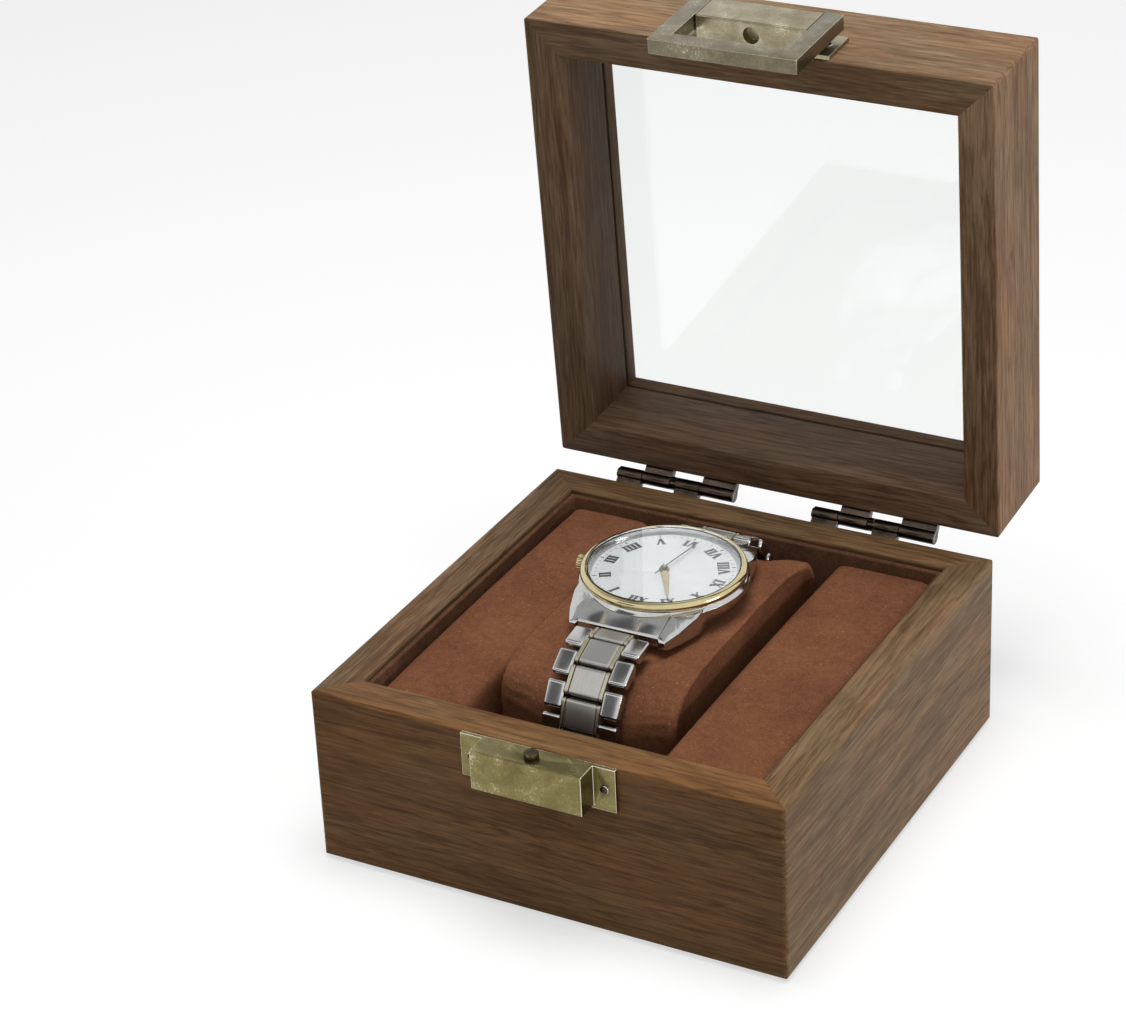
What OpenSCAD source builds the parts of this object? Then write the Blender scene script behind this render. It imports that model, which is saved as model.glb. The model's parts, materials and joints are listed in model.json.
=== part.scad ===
// Wooden display box for one wristwatch, with a framed glass lid, a bail latch,
// a lined inside with two suede pads, and a watch on a lift-out cushion.
// Millimetres, +Z up. The origin is the middle of the underside, the front faces -Y.

/* [Box] */
// Width of the box, left to right
box_w = 115; // [112:1:135]
// Depth of the box, front to back
box_d = 115; // [112:1:135]
// Height of the base
base_h = 44; // [43:0.5:56]
// Height of the lid
lid_h = 26.5; // [25:0.5:36]
// Thickness of the wooden sides of base and lid
wall_t = 8.8; // [8:0.1:10.5]
// Radius on the outer wooden edges
edge_r = 1.2; // [0.4:0.1:2]
// Thickness of the bottom panel
panel_t = 3; // [2:0.5:4.5]
// Width of the ledge that the bottom panel is let into
rabbet_w = 4; // [2.5:0.5:5.5]
// Thickness of the felt under the box
felt_t = 0.8; // [0.5:0.1:1.5]
// Distance from the felt's edge to the outside of the box
felt_inset = 2.5; // [2:0.5:6]

/* [Lid glass] */
// Thickness of the glass pane
glass_t = 1.5; // [1:0.1:2.2]
// Height of the pane's groove above the lid's underside
glass_rise = 19.4; // [17:0.2:20.4]
// Depth of the groove in the rails
groove_d = 2.5; // [1.5:0.1:3.5]
// Radius on the inner edge over the pane
lip_r = 2.2; // [0.8:0.1:2.4]

/* [Lid hinges] */
// Opening angle of the lid, where the hinge stops meet
lid_open = 86; // [78:1:94]
// Distance from the back of the box to the hinge pin
hinge_reach = 3.4; // [3:0.1:4.2]
// Distance from the side of the box to the middle of each hinge
hinge_inset = 31.5; // [26:0.5:36]
// Radius of the hinge knuckles
knuckle_r = 1.65; // [1.4:0.05:1.75]
// Radius of the hinge pins
hinge_pin_r = 0.8; // [0.6:0.05:0.95]
// Length of the narrow knuckles, on the base leaf
base_knuckle_l = 6.3; // [5:0.1:8]
// Length of the wide knuckles, on the lid leaf
lid_knuckle_l = 8.7; // [7:0.1:10]
// Height of a leaf on the wood, from the pin
leaf_h = 13; // [11:0.5:16]
// Thickness of the leaves
leaf_t = 1; // [0.8:0.1:1.2]
// Length of the screws in the wood
screw_l = 6.5; // [5:0.5:7.5]

/* [Latch] */
// Width of the two latch blocks
block_w = 26.8; // [22:0.2:32]
// Height of each latch block
block_h = 9.8; // [8.5:0.1:12]
// How far the blocks stand proud of the wood
block_d = 6.5; // [5.6:0.1:7.5]
// Width of the two latch plates over their ears
plate_w = 37.5; // [36.5:0.5:46]
// Thickness of the ears
ear_t = 1; // [0.8:0.1:1.2]
// Width of the bail's side arms
bail_arm = 4.4; // [3.4:0.1:5.6]
// Height of the bail's bottom bar
bail_bar = 4.5; // [3.5:0.1:6]
// Thickness of the bail, front to back
bail_t = 3.4; // [2.8:0.1:3.8]
// Radius of the knob that locates the blocks
knob_r = 1.65; // [1.2:0.05:2]
// Height of the knob above its block
knob_h = 1.8; // [1:0.1:2.2]
// Radius of the bail's pivot pins
bail_pin_r = 0.8; // [0.6:0.05:1]

/* [Inside] */
// Thickness of the lining on the walls
lining_t = 1.2; // [0.8:0.1:2]
// Distance from the rim down to the lining's top
lining_drop = 1; // [0.5:0.1:2]
// Distance from the rim down to the pads' tops
pad_drop = 3; // [3:0.5:8]
// Width of the left pad
left_pad_w = 22; // [16:0.5:23]
// Width of the right pad
right_pad_w = 25.5; // [16:0.5:26]
// Thickness of the covered board between the pads
board_t = 1.2; // [0.8:0.1:2]

/* [Cushion] */
// Room between the cushion and each pad
cushion_gap = 2; // [1:0.1:3]
// Room between the front lining and the cushion
cushion_front = 13.2; // [11:0.2:15]
// Room between the back lining and the cushion
cushion_back = 5.2; // [4.5:0.1:7]
// Height of the cushion's crown above the rim
crown_over_rim = 3.2; // [2:0.1:4.5]

/* [Watch] */
// Radius of the watch case
case_r = 19.45; // [18.5:0.05:20]
// Height of the case from its back to the bezel's seat
case_h = 6.4; // [5.8:0.1:7]
// Distance from the watch's middle to the middle of the cushion, front to back
watch_shift = 2.2; // [0:0.2:3]
// Width of the bracelet's end links, between the lugs
band_w = 19.9; // [18.6:0.1:20]
// Width of the bracelet
strap_w = 18.3; // [17:0.1:18.5]
// Thickness of the bracelet's links
link_t = 2.8; // [2.2:0.1:3]
// Length of one row of the bracelet
link_pitch = 7.1; // [6.6:0.1:8.4]
// Width of the bracelet's brushed middle links
middle_w = 7.6; // [6.8:0.1:8.6]
// Width of the gold bars beside the middle links
bar_w = 0.9; // [0.6:0.1:1.2]
// Radius of the bracelet's bends over the cushion's top edges
band_bend = 16.5; // [15:0.5:17]
// Length of the folding clasp
clasp_l = 32; // [26:1:36]
// Thickness of the clasp
clasp_t = 4; // [3.4:0.1:4.4]

/* [Hidden] */

$fn = 48;
// Overshoot of a cut past the face it opens
spill = 1;
// Room of a part that turns or slides in another
running = 0.05;

// Where the base and the closed lid meet
parting = 0.2;
lid_z = base_h + parting;
hinge_y = box_d / 2 + hinge_reach;
hinge_z = base_h + parting / 2;
hinge_x = box_w / 2 - hinge_inset;
rim_r = 0.5;
foot_r = 0.8;
mitre_reach = wall_t + spill;

// Hinges: knuckle starts along the pin, from the hinge's left end
knuckle_gap = 0.3;
hinge_l = 2 * base_knuckle_l + 2 * lid_knuckle_l + 3 * knuckle_gap;
lid_knuckle_x = [base_knuckle_l + knuckle_gap, hinge_l - lid_knuckle_l];
base_knuckle_x = [0, lid_knuckle_x[0] + lid_knuckle_l + knuckle_gap];
stop_l = 1.4;
stop_x = lid_knuckle_x[0] + lid_knuckle_l - stop_l;
stop_gap = 0.1;
stop_play = 1;
stop_angle = (360 - lid_open - 2 * stop_play) / 2;
web_angle = 203;
lid_stop_start = web_angle - stop_angle;
base_stop_start = lid_stop_start + stop_angle + stop_play;
pin_head_r = 1.25;
pin_head_l = 0.5;
screw_r = 0.9;
screw_head_r = 1.9;
screw_head_h = 0.8;
slot_w = 0.4;
slot_depth = 0.3;
screw_x = 9.5;
screw_z = 8.2;
leaf_drop = 2.6;
web_foot = 3.3;
web_head = 1.9;
web_side = 0.2;

// Latch: blocks either side of the parting line, plates behind them
block_gap = 0.3;
base_block_top = base_h - block_gap;
lid_block_z = lid_z + block_gap;
base_block_z = base_block_top - block_h;
block_edge_r = 0.4;
ear_over = 0.8;
knob_stem_r = 0.7 * knob_r;
knob_side_room = 0.35;
knob_top_room = 0.6;
front_y = -box_d / 2;
block_y = front_y - block_d;
bail_side_gap = 0.25;
bail_catch_gap = 0.15;
bail_inner_x = block_w / 2 + bail_side_gap;
bail_outer_x = bail_inner_x + bail_arm;
bail_bottom = base_block_z - bail_catch_gap - bail_bar;
bail_over = 0.5;
bail_top = lid_block_z + block_h + bail_over;
pivot_drop = 2.3;
bail_pivot_z = lid_block_z + block_h - pivot_drop;
bail_pivot_y = block_y + bail_t / 2;
bail_pin_hold = 4;
bail_pin_reach = 2.8;
bail_corner_r = 0.7;
nail_r = 0.6;
nail_head_r = 1.15;
nail_head_h = 0.5;
nail_l = 6;
nail_x = (plate_w / 2 + block_w / 2) / 2;
nail_shift = 0.4;
base_nail_z = base_block_z + block_h / 2 - nail_shift;
lid_nail_z = lid_block_z + block_h / 2 + nail_shift;

// Pads, cushion and board. Coverings are rounded as powers of a section's sine and cosine
pad_crown = 0.4;
pad_draw = 0.3;
pad_end_r = 1.2;
pad_square = 12;
cushion_crown = 0.8;
cushion_draw = 0.5;
cushion_end_r = 1.8;
cushion_mid_square = 3.5;
cushion_end_square = 6;
square_from = 0.8;
square_rate = 6;

// Inside of the base
panel_top = felt_t + panel_t;
inner_x = box_w / 2 - wall_t - lining_t;
inner_y = box_d / 2 - wall_t - lining_t;
board_top = panel_top + board_t;
pad_top = base_h - pad_drop;
well_x0 = -inner_x + left_pad_w;
well_x1 = inner_x - right_pad_w;
well_mid = (well_x0 + well_x1) / 2;
soft_clear = 0.3;

// Cushion, and the path of the bracelet's middle line around it
cushion_y0 = -inner_y + cushion_front;
cushion_y1 = inner_y - cushion_back;
cushion_mid_y = (cushion_y0 + cushion_y1) / 2;
cushion_top = base_h + crown_over_rim;
clasp_lift = 0.2;
clasp_z = board_top + clasp_lift;
cushion_z = clasp_z + clasp_t + clasp_lift;
clasp_inset = 0.6;
clasp_round = 0.8;
band_clear = 0.15;
band_front = cushion_y0 - band_clear - link_t / 2;
band_back = cushion_y1 + band_clear + link_t / 2;
band_low = clasp_z + clasp_t - link_t / 2;
low_bend = 13;

// Watch head, measured from its own middle
watch_x = well_mid;
watch_y = cushion_mid_y + watch_shift;
case_lift = 0.2;
case_z = cushion_top + case_lift;
case_waist = 1.6;
case_waist_h = 4.4;
case_bevel = 0.6;
case_bevel_h = 0.9;
case_wall = 1.5;
back_t = 1.4;
back_r = 17;
back_bevel = 1.2;
back_edge_t = 0.7;
seat_z = case_z + case_h;
dial_t = 0.4;
dial_drop = 1.2;
dial_z = seat_z - dial_drop;
dial_r = case_r - 2.3;
movement_r = 13.9;
bezel_r = case_r - 0.45;
bezel_h = 1.9;
bezel_round = 1.1;
bezel_foot = 0.25;
ring_t = 0.8;
ring_lip = 0.35;
ring_rise = 0.8;
crystal_r = case_r - 1.95;
crystal_z = seat_z + ring_rise;
crystal_t = 1.2;
crystal_dome = 0.45;
crystal_edge = 0.3;
band_rise = 2.4;
band_high = case_z + band_rise;
lug_reach = case_r + 4.3;
lug_side_room = 0.1;
lug_gap = band_w + 2 * lug_side_room;
lug_t = 2.2;
lug_root = 9;
lug_low = 1.1;
lug_bevel = 0.4;
lug_fall = 0.42;
lug_seat = 0.1;
lug_round = 0.7;
pivot_reach = case_r + 2.1;
bar_r = 0.75;
bar_hold = 0.9;
end_link_r = 1.75;
end_link_flat = 0.2;
end_link_hold = 4;
end_link_drop = 1;
end_link_fall = 0.4;
end_link_nose = 0.5;
arbor_r = 0.4;
arbor_over = 0.1;
hand_t = 0.15;
hand_rise = 0.25;
hand_gap = 0.2;
hour_z = dial_z + dial_t + hand_rise;
minute_z = hour_z + hand_t + hand_gap;
second_z = minute_z + hand_t + hand_gap;
second_t = 0.1;
hour_l = 9.6;
hour_w = 1.7;
hour_hub_r = 1.2;
minute_l = 13.2;
minute_w = 1.4;
minute_hub_r = 1;
hand_tail = 2.4;
hand_tip = 0.12;
second_l = 13.6;
second_w = 0.28;
second_tail = 3.6;
second_hub_r = 0.8;
shown_hour = 10;
shown_minute = 55;
shown_second = 31.5;
crown_r = 1.9;
crown_l = 2.1;
crown_gap = 0.2;
crown_rise = 3.9;
crown_z = case_z + crown_rise;
stem_r = 0.5;
stem_hold = 2.5;
stem_bore = 3;
flutes = 18;
flute_r = 0.2;
flute_out = 0.08;

// Bracelet: rows from each end of the case, down and round to the clasp
first_row = end_link_r + 0.35;
outer_lag = 0.9;
first_middle = 0.62 * link_pitch;
row_gap = 1;
link_round = 0.8;
link_relief = 1.2;
middle_gap = 0.35;
outer_w = (strap_w - middle_w) / 2 - bar_w;
end_bar_t = 0.5;
end_bar_out = 0.3;

// Colours
walnut = "#6b4a33";
walnut_side = "#7c583f";
velour = "#3b241a";
suede = "#7a3f22";
old_brass = "#8c7d4c";
dark_bronze = "#3c332b";
steel = "#b9bcc0";
brushed = "#9a9c9c";
gold = "#c9a95c";

// Waste to take off a corner at `at`, to leave radius r; `to` points into the material
module corner_waste(at, to, r)
    translate([at.x + to.x * r, at.y + to.y * r])
        difference() {
            translate([to.x > 0 ? -r - spill : 0, to.y > 0 ? -r - spill : 0]) square(r + spill);
            circle(r);
        }

// Plan of the box with round corners
module box_plan(r) {
    square([box_w - 2 * r, box_d], center = true);
    square([box_w, box_d - 2 * r], center = true);
    for (x = [-1, 1], y = [-1, 1])
        translate([x * (box_w / 2 - r), y * (box_d / 2 - r)]) circle(r);
}

// One mitred side: 0 front, 1 right, 2 back, 3 left. Children give its section,
// with x measured inwards from the outer face and y upwards
module mitred_side(side, z0, h) {
    run = side % 2 == 0 ? box_w : box_d;
    out = (side % 2 == 0 ? box_d : box_w) / 2;
    intersection() {
        rotate([0, 0, 90 * side])
            translate([-run / 2, -out, 0])
                rotate([90, 0, 90]) linear_extrude(run) children();
        rotate([0, 0, 90 * side])
            translate([0, 0, z0])
                linear_extrude(h)
                    polygon([[-run / 2, -out], [run / 2, -out],
                        [run / 2 - mitre_reach, -out + mitre_reach],
                        [-run / 2 + mitre_reach, -out + mitre_reach]]);
        translate([0, 0, z0]) linear_extrude(h) box_plan(edge_r);
    }
}

// Turns what is modelled on the closed lid to the open lid
module open_lid()
    translate([0, hinge_y, hinge_z])
        rotate([-lid_open, 0, 0])
            translate([0, -hinge_y, -hinge_z]) children();

// A profile in (y, z), run along x from x0
module along_x(x0, run)
    translate([x0, 0, 0]) rotate([90, 0, 90]) linear_extrude(run) children();

// A profile in (x, z), run along y
module along_y(run)
    translate([0, run, 0]) rotate([90, 0, 0]) linear_extrude(run) children();

// Wooden base

module base_section()
    difference() {
        translate([0, felt_t]) square([wall_t, base_h - felt_t]);
        corner_waste([0, base_h], [1, -1], edge_r);
        corner_waste([wall_t, base_h], [-1, -1], rim_r);
        corner_waste([0, felt_t], [1, 1], foot_r);
        translate([wall_t - rabbet_w, felt_t - spill]) square([rabbet_w + spill, panel_t + spill]);
    }

module base_side(side)
    color(side % 2 == 0 ? walnut : walnut_side)
        mitred_side(side, felt_t, base_h - felt_t) base_section();

module base_front_wall()
    difference() {
        base_side(0);
        color(walnut) base_nail_shanks();
    }

module base_right_wall() base_side(1);

module base_back_wall()
    difference() {
        base_side(2);
        color(walnut) base_screw_shanks();
    }

module base_left_wall() base_side(3);

module bottom_panel()
    color("#5d4632")
        translate([0, 0, felt_t])
            linear_extrude(panel_t)
                square([box_w - 2 * (wall_t - rabbet_w) - 2 * running,
                    box_d - 2 * (wall_t - rabbet_w) - 2 * running], center = true);

module base_felt()
    color("#2e2622")
        linear_extrude(felt_t)
            square([box_w - 2 * felt_inset, box_d - 2 * felt_inset], center = true);

// Lining, pads and the board between them

module wall_lining()
    color(velour)
        translate([0, 0, panel_top])
            linear_extrude(base_h - lining_drop - panel_top) {
                for (y = [-1, 1])
                    translate([0, y * (inner_y + lining_t / 2)])
                        square([2 * (inner_x + lining_t), lining_t], center = true);
                for (x = [-1, 1])
                    translate([x * (inner_x + lining_t / 2), 0])
                        square([lining_t, 2 * inner_y], center = true);
            }

// Point on a rounded section: half width, half height, squareness and angle
function soft_point(half_w, half_h, p, a) = [
    half_w * sign(cos(a)) * pow(abs(cos(a)), 2 / p),
    half_h * sign(sin(a)) * pow(abs(sin(a)), 2 / p)
];

// Upholstered block along x: a row of rounded sections that draw in towards both ends
// and swell in the middle, squarer at the ends (end_p) than in the middle (mid_p)
module soft_block(run, width, height, crown, draw_in, end_r, mid_p, end_p) {
    around = 40;
    tail = [0, 0.12, 0.35, 0.65, 1];
    span = [-0.8, -0.55, -0.3, 0, 0.3, 0.55, 0.8];
    half = run / 2;
    flat = half - end_r;
    left = [for (t = tail) [-half + end_r * t, end_r * (1 - sqrt(1 - (1 - t) * (1 - t)))]];
    right = [for (i = [len(tail) - 1:-1:0]) [-left[i][0], left[i][1]]];
    rings = concat(left, [for (s = span) [flat * s, 0]], right);
    n = len(rings);
    points = [
        for (ring = rings)
            let (u = ring[0] / half,
                swell = 1 - u * u,
                p = mid_p + (end_p - mid_p) * min(1, pow(abs(u) / square_from, square_rate)),
                half_w = width / 2 - ring[1] - draw_in * (1 - swell),
                top = height - crown * (1 - swell) - ring[1],
                low = ring[1])
                for (k = [0:around - 1])
                    let (q = soft_point(half_w, (top - low) / 2, p, 360 * k / around))
                        [ring[0], q[0], q[1] + (top + low) / 2]
    ];
    sides = [
        for (i = [0:n - 2], k = [0:around - 1])
            let (a = i * around + k, b = i * around + (k + 1) % around,
                c = a + around, d = b + around)
                each [[a, b, c], [b, d, c]]
    ];
    caps = [
        for (k = [1:around - 2])
            each [[0, k + 1, k],
                [(n - 1) * around, (n - 1) * around + k, (n - 1) * around + k + 1]]
    ];
    polyhedron(points, concat(sides, caps));
}

module side_pad(width)
    rotate([0, 0, 90])
        soft_block(2 * (inner_y - soft_clear), width - soft_clear, pad_top - panel_top,
            pad_crown, pad_draw, pad_end_r, pad_square, pad_square);

module left_pad()
    color(suede)
        translate([-inner_x + left_pad_w / 2, 0, panel_top]) side_pad(left_pad_w);

module right_pad()
    color(suede)
        translate([inner_x - right_pad_w / 2, 0, panel_top]) side_pad(right_pad_w);

module well_board()
    color(suede)
        translate([well_x0 + soft_clear, -inner_y, panel_top])
            cube([well_x1 - well_x0 - 2 * soft_clear, 2 * inner_y, board_t]);

// Latch on the base

module latch_block_section(z0)
    difference() {
        translate([block_y, z0]) square([block_d, block_h]);
        corner_waste([block_y, z0], [1, 1], block_edge_r);
        corner_waste([block_y, z0 + block_h], [1, -1], block_edge_r);
    }

module latch_plate(z0, ear_z) {
    along_x(-block_w / 2, block_w) latch_block_section(z0);
    along_x(-plate_w / 2, plate_w)
        translate([front_y - ear_t, ear_z]) square([ear_t, block_h + ear_over]);
}

// Shank of a nail or screw, from the face at y in the direction to
module shank(x, y, z, to, r, l)
    translate([x, y, z]) rotate([-90 * to, 0, 0]) cylinder(r = r, h = l);

module base_nail_shanks()
    for (x = [-nail_x, nail_x]) shank(x, front_y - ear_t, base_nail_z, 1, nail_r, nail_l + ear_t);

module lid_nail_shanks()
    for (x = [-nail_x, nail_x]) shank(x, front_y - ear_t, lid_nail_z, 1, nail_r, nail_l + ear_t);

// Round nail head, proud of the face at y
module nail_head(x, y, z)
    translate([x, y, z]) rotate([90, 0, 0])
        rotate_extrude()
            polygon([[0, 0], [nail_head_r, 0], [nail_head_r * 0.9, nail_head_h * 0.6],
                [nail_head_r * 0.5, nail_head_h], [0, nail_head_h]]);

module base_latch_plate()
    color(old_brass)
        difference() {
            latch_plate(base_block_z, base_block_z - ear_over);
            base_nail_shanks();
            translate([0, front_y - block_d / 2, base_block_top - knob_h])
                cylinder(r = knob_stem_r, h = knob_h + spill);
        }

module latch_knob()
    color(old_brass)
        translate([0, front_y - block_d / 2, base_block_top]) {
            translate([0, 0, -knob_h]) cylinder(r = knob_stem_r, h = knob_h);
            cylinder(r = knob_r, h = knob_h / 2);
            translate([0, 0, knob_h / 2])
                intersection() {
                    cylinder(r = knob_r, h = knob_h / 2);
                    translate([0, 0, -knob_h]) sphere(r = 1.5 * knob_h);
                }
        }

module base_latch_nails()
    color(dark_bronze) {
        base_nail_shanks();
        for (x = [-nail_x, nail_x]) nail_head(x, front_y - ear_t, base_nail_z);
    }

// Hinges. A leaf is a plate on the wood, a cranked web at each of its knuckles, and the knuckles

module hinge_web_section()
    polygon([[box_d / 2, hinge_z - web_foot], [box_d / 2 + leaf_t, hinge_z - web_foot],
        [hinge_y, hinge_z - knuckle_r], [hinge_y, hinge_z],
        [hinge_y - knuckle_r, hinge_z - web_side], [box_d / 2, hinge_z - web_head]]);

// Sector of a knuckle's ring, for the stops
module stop_sector(start)
    intersection() {
        circle(knuckle_r);
        polygon(concat([[0, 0]],
            [for (i = [0:4]) let (a = start + stop_angle * i / 4) 3 * knuckle_r * [cos(a), sin(a)]]));
    }

// Leaf in the base's place. A knuckle is [start, length], a stop [start, length, first angle]
module leaf_shape(knuckles, stop)
    difference() {
        union() {
            along_x(0, hinge_l)
                translate([box_d / 2, hinge_z - leaf_h]) square([leaf_t, leaf_h - leaf_drop]);
            for (k = knuckles) along_x(k[0], k[1]) {
                hinge_web_section();
                translate([hinge_y, hinge_z]) circle(knuckle_r);
            }
            along_x(stop[0], stop[1])
                translate([hinge_y, hinge_z]) stop_sector(stop[2]);
        }
        along_x(-spill, hinge_l + 2 * spill)
            translate([hinge_y, hinge_z]) circle(hinge_pin_r + running);
    }

// Place of the hinge: -1 left, 1 right
module at_hinge(side) translate([side * hinge_x - hinge_l / 2, 0, 0]) children();

module base_leaf(side)
    color(dark_bronze)
        difference() {
            at_hinge(side)
                leaf_shape([for (x = base_knuckle_x) [x, base_knuckle_l]],
                    [stop_x + stop_gap, base_knuckle_x[1] - stop_x, base_stop_start]);
            base_screw_shanks();
        }

module left_hinge_base_leaf() base_leaf(-1);

module right_hinge_base_leaf() base_leaf(1);

module lid_leaf(side)
    color(dark_bronze)
        difference() {
            at_hinge(side)
                translate([0, 0, 2 * hinge_z]) mirror([0, 0, 1])
                    leaf_shape([[lid_knuckle_x[0], lid_knuckle_l - stop_l],
                        [lid_knuckle_x[1], lid_knuckle_l]],
                        [stop_x - stop_gap, stop_l, -lid_stop_start - stop_angle]);
            lid_screw_shanks();
        }

module left_hinge_lid_leaf() open_lid() lid_leaf(-1);

module right_hinge_lid_leaf() open_lid() lid_leaf(1);

module hinge_pin(side)
    color("#4a4038")
        at_hinge(side)
            translate([-pin_head_l, hinge_y, hinge_z])
                rotate([0, 90, 0]) {
                    cylinder(r = hinge_pin_r, h = hinge_l + pin_head_l);
                    cylinder(r = pin_head_r, h = pin_head_l);
                }

module left_hinge_pin() hinge_pin(-1);

module right_hinge_pin() hinge_pin(1);

module hinge_screw_shanks(z)
    for (side = [-1, 1], x = [-screw_x, screw_x])
        shank(side * hinge_x + x, box_d / 2 + leaf_t, z, -1, screw_r, screw_l + leaf_t);

module base_screw_shanks() hinge_screw_shanks(hinge_z - screw_z);

module lid_screw_shanks() hinge_screw_shanks(hinge_z + screw_z);

module hinge_screw_heads(z)
    for (side = [-1, 1], x = [-screw_x, screw_x])
        translate([side * hinge_x + x, box_d / 2 + leaf_t, z])
            rotate([-90, 0, 0])
                difference() {
                    rotate_extrude()
                        polygon([[0, 0], [screw_head_r, 0], [screw_head_r * 0.85, screw_head_h * 0.7],
                            [screw_head_r * 0.5, screw_head_h], [0, screw_head_h]]);
                    for (a = [0, 90])
                        rotate([0, 0, a])
                            translate([0, 0, screw_head_h])
                                cube([screw_head_r, slot_w, 2 * slot_depth], center = true);
                }

module base_hinge_screws()
    color(dark_bronze) {
        base_screw_shanks();
        hinge_screw_heads(hinge_z - screw_z);
    }

module lid_hinge_screws()
    color(dark_bronze)
        open_lid() {
            lid_screw_shanks();
            hinge_screw_heads(hinge_z + screw_z);
        }

// Lid: four mitred rails with a groove for the pane

module lid_section()
    difference() {
        translate([0, lid_z]) square([wall_t, lid_h]);
        corner_waste([0, lid_z + lid_h], [1, -1], edge_r);
        corner_waste([wall_t, lid_z + lid_h], [-1, -1], lip_r);
        corner_waste([0, lid_z], [1, 1], rim_r);
        corner_waste([wall_t, lid_z], [-1, 1], rim_r);
        translate([wall_t - groove_d, lid_z + glass_rise])
            square([groove_d + spill, glass_t + running]);
    }

module lid_side(side)
    color(side % 2 == 0 ? walnut_side : walnut)
        mitred_side(side, lid_z, lid_h) lid_section();

module lid_front_rail()
    open_lid()
        difference() {
            lid_side(0);
            color(walnut) lid_nail_shanks();
        }

module lid_right_rail() open_lid() lid_side(1);

module lid_back_rail()
    open_lid()
        difference() {
            lid_side(2);
            color(walnut) lid_screw_shanks();
        }

module lid_left_rail() open_lid() lid_side(3);

module lid_glass()
    color([0.8, 0.88, 0.86, 0.3])
        open_lid()
            translate([0, 0, lid_z + glass_rise])
                linear_extrude(glass_t)
                    square([box_w - 2 * (wall_t - groove_d) - 4 * running,
                        box_d - 2 * (wall_t - groove_d) - 4 * running], center = true);

// Latch on the lid, with the bail that swings over both blocks

module bail_pins(reach, room)
    for (x = [-1, 1])
        translate([x * (block_w / 2 - bail_pin_hold), bail_pivot_y, bail_pivot_z])
            rotate([0, 90 * x, 0])
                cylinder(r = bail_pin_r + room, h = bail_pin_hold + bail_side_gap + reach);

module lid_latch_plate()
    color(old_brass)
        open_lid()
            difference() {
                latch_plate(lid_block_z, lid_block_z);
                lid_nail_shanks();
                bail_pins(spill, 0);
                translate([0, front_y - block_d / 2, lid_block_z - spill])
                    cylinder(r = knob_r + knob_side_room, h = knob_h + knob_top_room + spill);
            }

module lid_latch_nails()
    color(dark_bronze)
        open_lid() {
            lid_nail_shanks();
            for (x = [-nail_x, nail_x]) nail_head(x, front_y - ear_t, lid_nail_z);
        }

module bail_pivot_pins() color(dark_bronze) open_lid() bail_pins(bail_pin_reach, 0);

module latch_bail()
    color("#938457")
        open_lid()
            difference() {
                translate([0, block_y + bail_t, 0]) rotate([90, 0, 0])
                    linear_extrude(bail_t)
                        difference() {
                            translate([-bail_outer_x, bail_bottom])
                                square([2 * bail_outer_x, bail_top - bail_bottom]);
                            translate([-bail_inner_x, bail_bottom + bail_bar])
                                square([2 * bail_inner_x, bail_top]);
                            for (x = [-1, 1]) {
                                corner_waste([x * bail_outer_x, bail_bottom], [-x, 1], bail_corner_r);
                                corner_waste([x * bail_outer_x, bail_top], [-x, -1], bail_corner_r);
                            }
                        }
                bail_pins(bail_pin_reach + running, running);
            }

// Cushion

module cushion()
    color(suede)
        translate([well_mid, cushion_mid_y, cushion_z])
            soft_block(well_x1 - well_x0 - 2 * cushion_gap, cushion_y1 - cushion_y0,
                cushion_top - cushion_z, cushion_crown, cushion_draw, cushion_end_r,
                cushion_mid_square, cushion_end_square);

// Watch head

module at_watch(z) translate([watch_x, watch_y, z]) children();

// Cone under the bezel, which the tops of the lugs follow outwards and down
module lug_cone() {
    far_r = lug_reach + lug_root;
    rotate_extrude($fn = 96)
        polygon([[0, case_z], [far_r, case_z],
            [far_r, max(case_z + lug_seat, seat_z - lug_seat - lug_fall * (far_r - bezel_r))],
            [bezel_r, seat_z - lug_seat], [0, seat_z - lug_seat]]);
}

// A lug, swept down from the bezel's foot to its tip
module lug() {
    lug_in = lug_gap / 2;
    intersection() {
        lug_cone();
        translate([0, 0, case_z])
            linear_extrude(case_h)
                polygon([[lug_in, lug_root], [lug_in, lug_reach - lug_bevel],
                    [lug_in + lug_bevel, lug_reach], [lug_in + lug_t - lug_bevel, lug_reach],
                    [lug_in + lug_t, lug_reach - 2 * lug_bevel], [case_r - 5.8, case_r + 0.5],
                    [case_r - 4.1, case_r - 5.1], [case_r - 3.9, lug_root]]);
        along_x(0, 2 * case_r)
            difference() {
                polygon([[lug_root - 3, case_z + lug_low], [lug_reach, case_z + lug_low],
                    [lug_reach, case_z + case_h - 3.4], [lug_reach - 1.4, case_z + case_h - 2],
                    [lug_reach - 4.4, case_z + case_h - 0.8], [case_r - 5.1, seat_z - 0.2],
                    [lug_root - 3, seat_z - 0.2]]);
                corner_waste([lug_reach, case_z + lug_low], [-1, 1], lug_round);
            }
    }
}

module watch_case()
    color(steel)
        at_watch(0)
            difference() {
                union() {
                    rotate_extrude($fn = 96)
                        polygon([[movement_r, case_z + back_t], [case_r - case_waist, case_z + back_t],
                            [case_r, case_z + case_waist_h], [case_r, seat_z - case_bevel_h],
                            [case_r - case_bevel, seat_z], [dial_r, seat_z], [dial_r, dial_z],
                            [movement_r, dial_z]]);
                    difference() {
                        for (y = [0, 1]) mirror([0, y, 0])
                            for (x = [0, 1]) mirror([x, 0, 0]) lug();
                        translate([0, 0, case_z - spill]) cylinder(r = case_r - case_wall, h = 2 * case_h);
                    }
                }
                for (y = [-1, 1])
                    translate([-lug_gap / 2 - bar_hold, y * pivot_reach, band_high])
                        rotate([0, 90, 0]) cylinder(r = bar_r, h = lug_gap + 2 * bar_hold);
                translate([-case_r - spill, 0, crown_z])
                    rotate([0, 90, 0]) cylinder(r = stem_r + running, h = case_r);
            }

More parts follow.
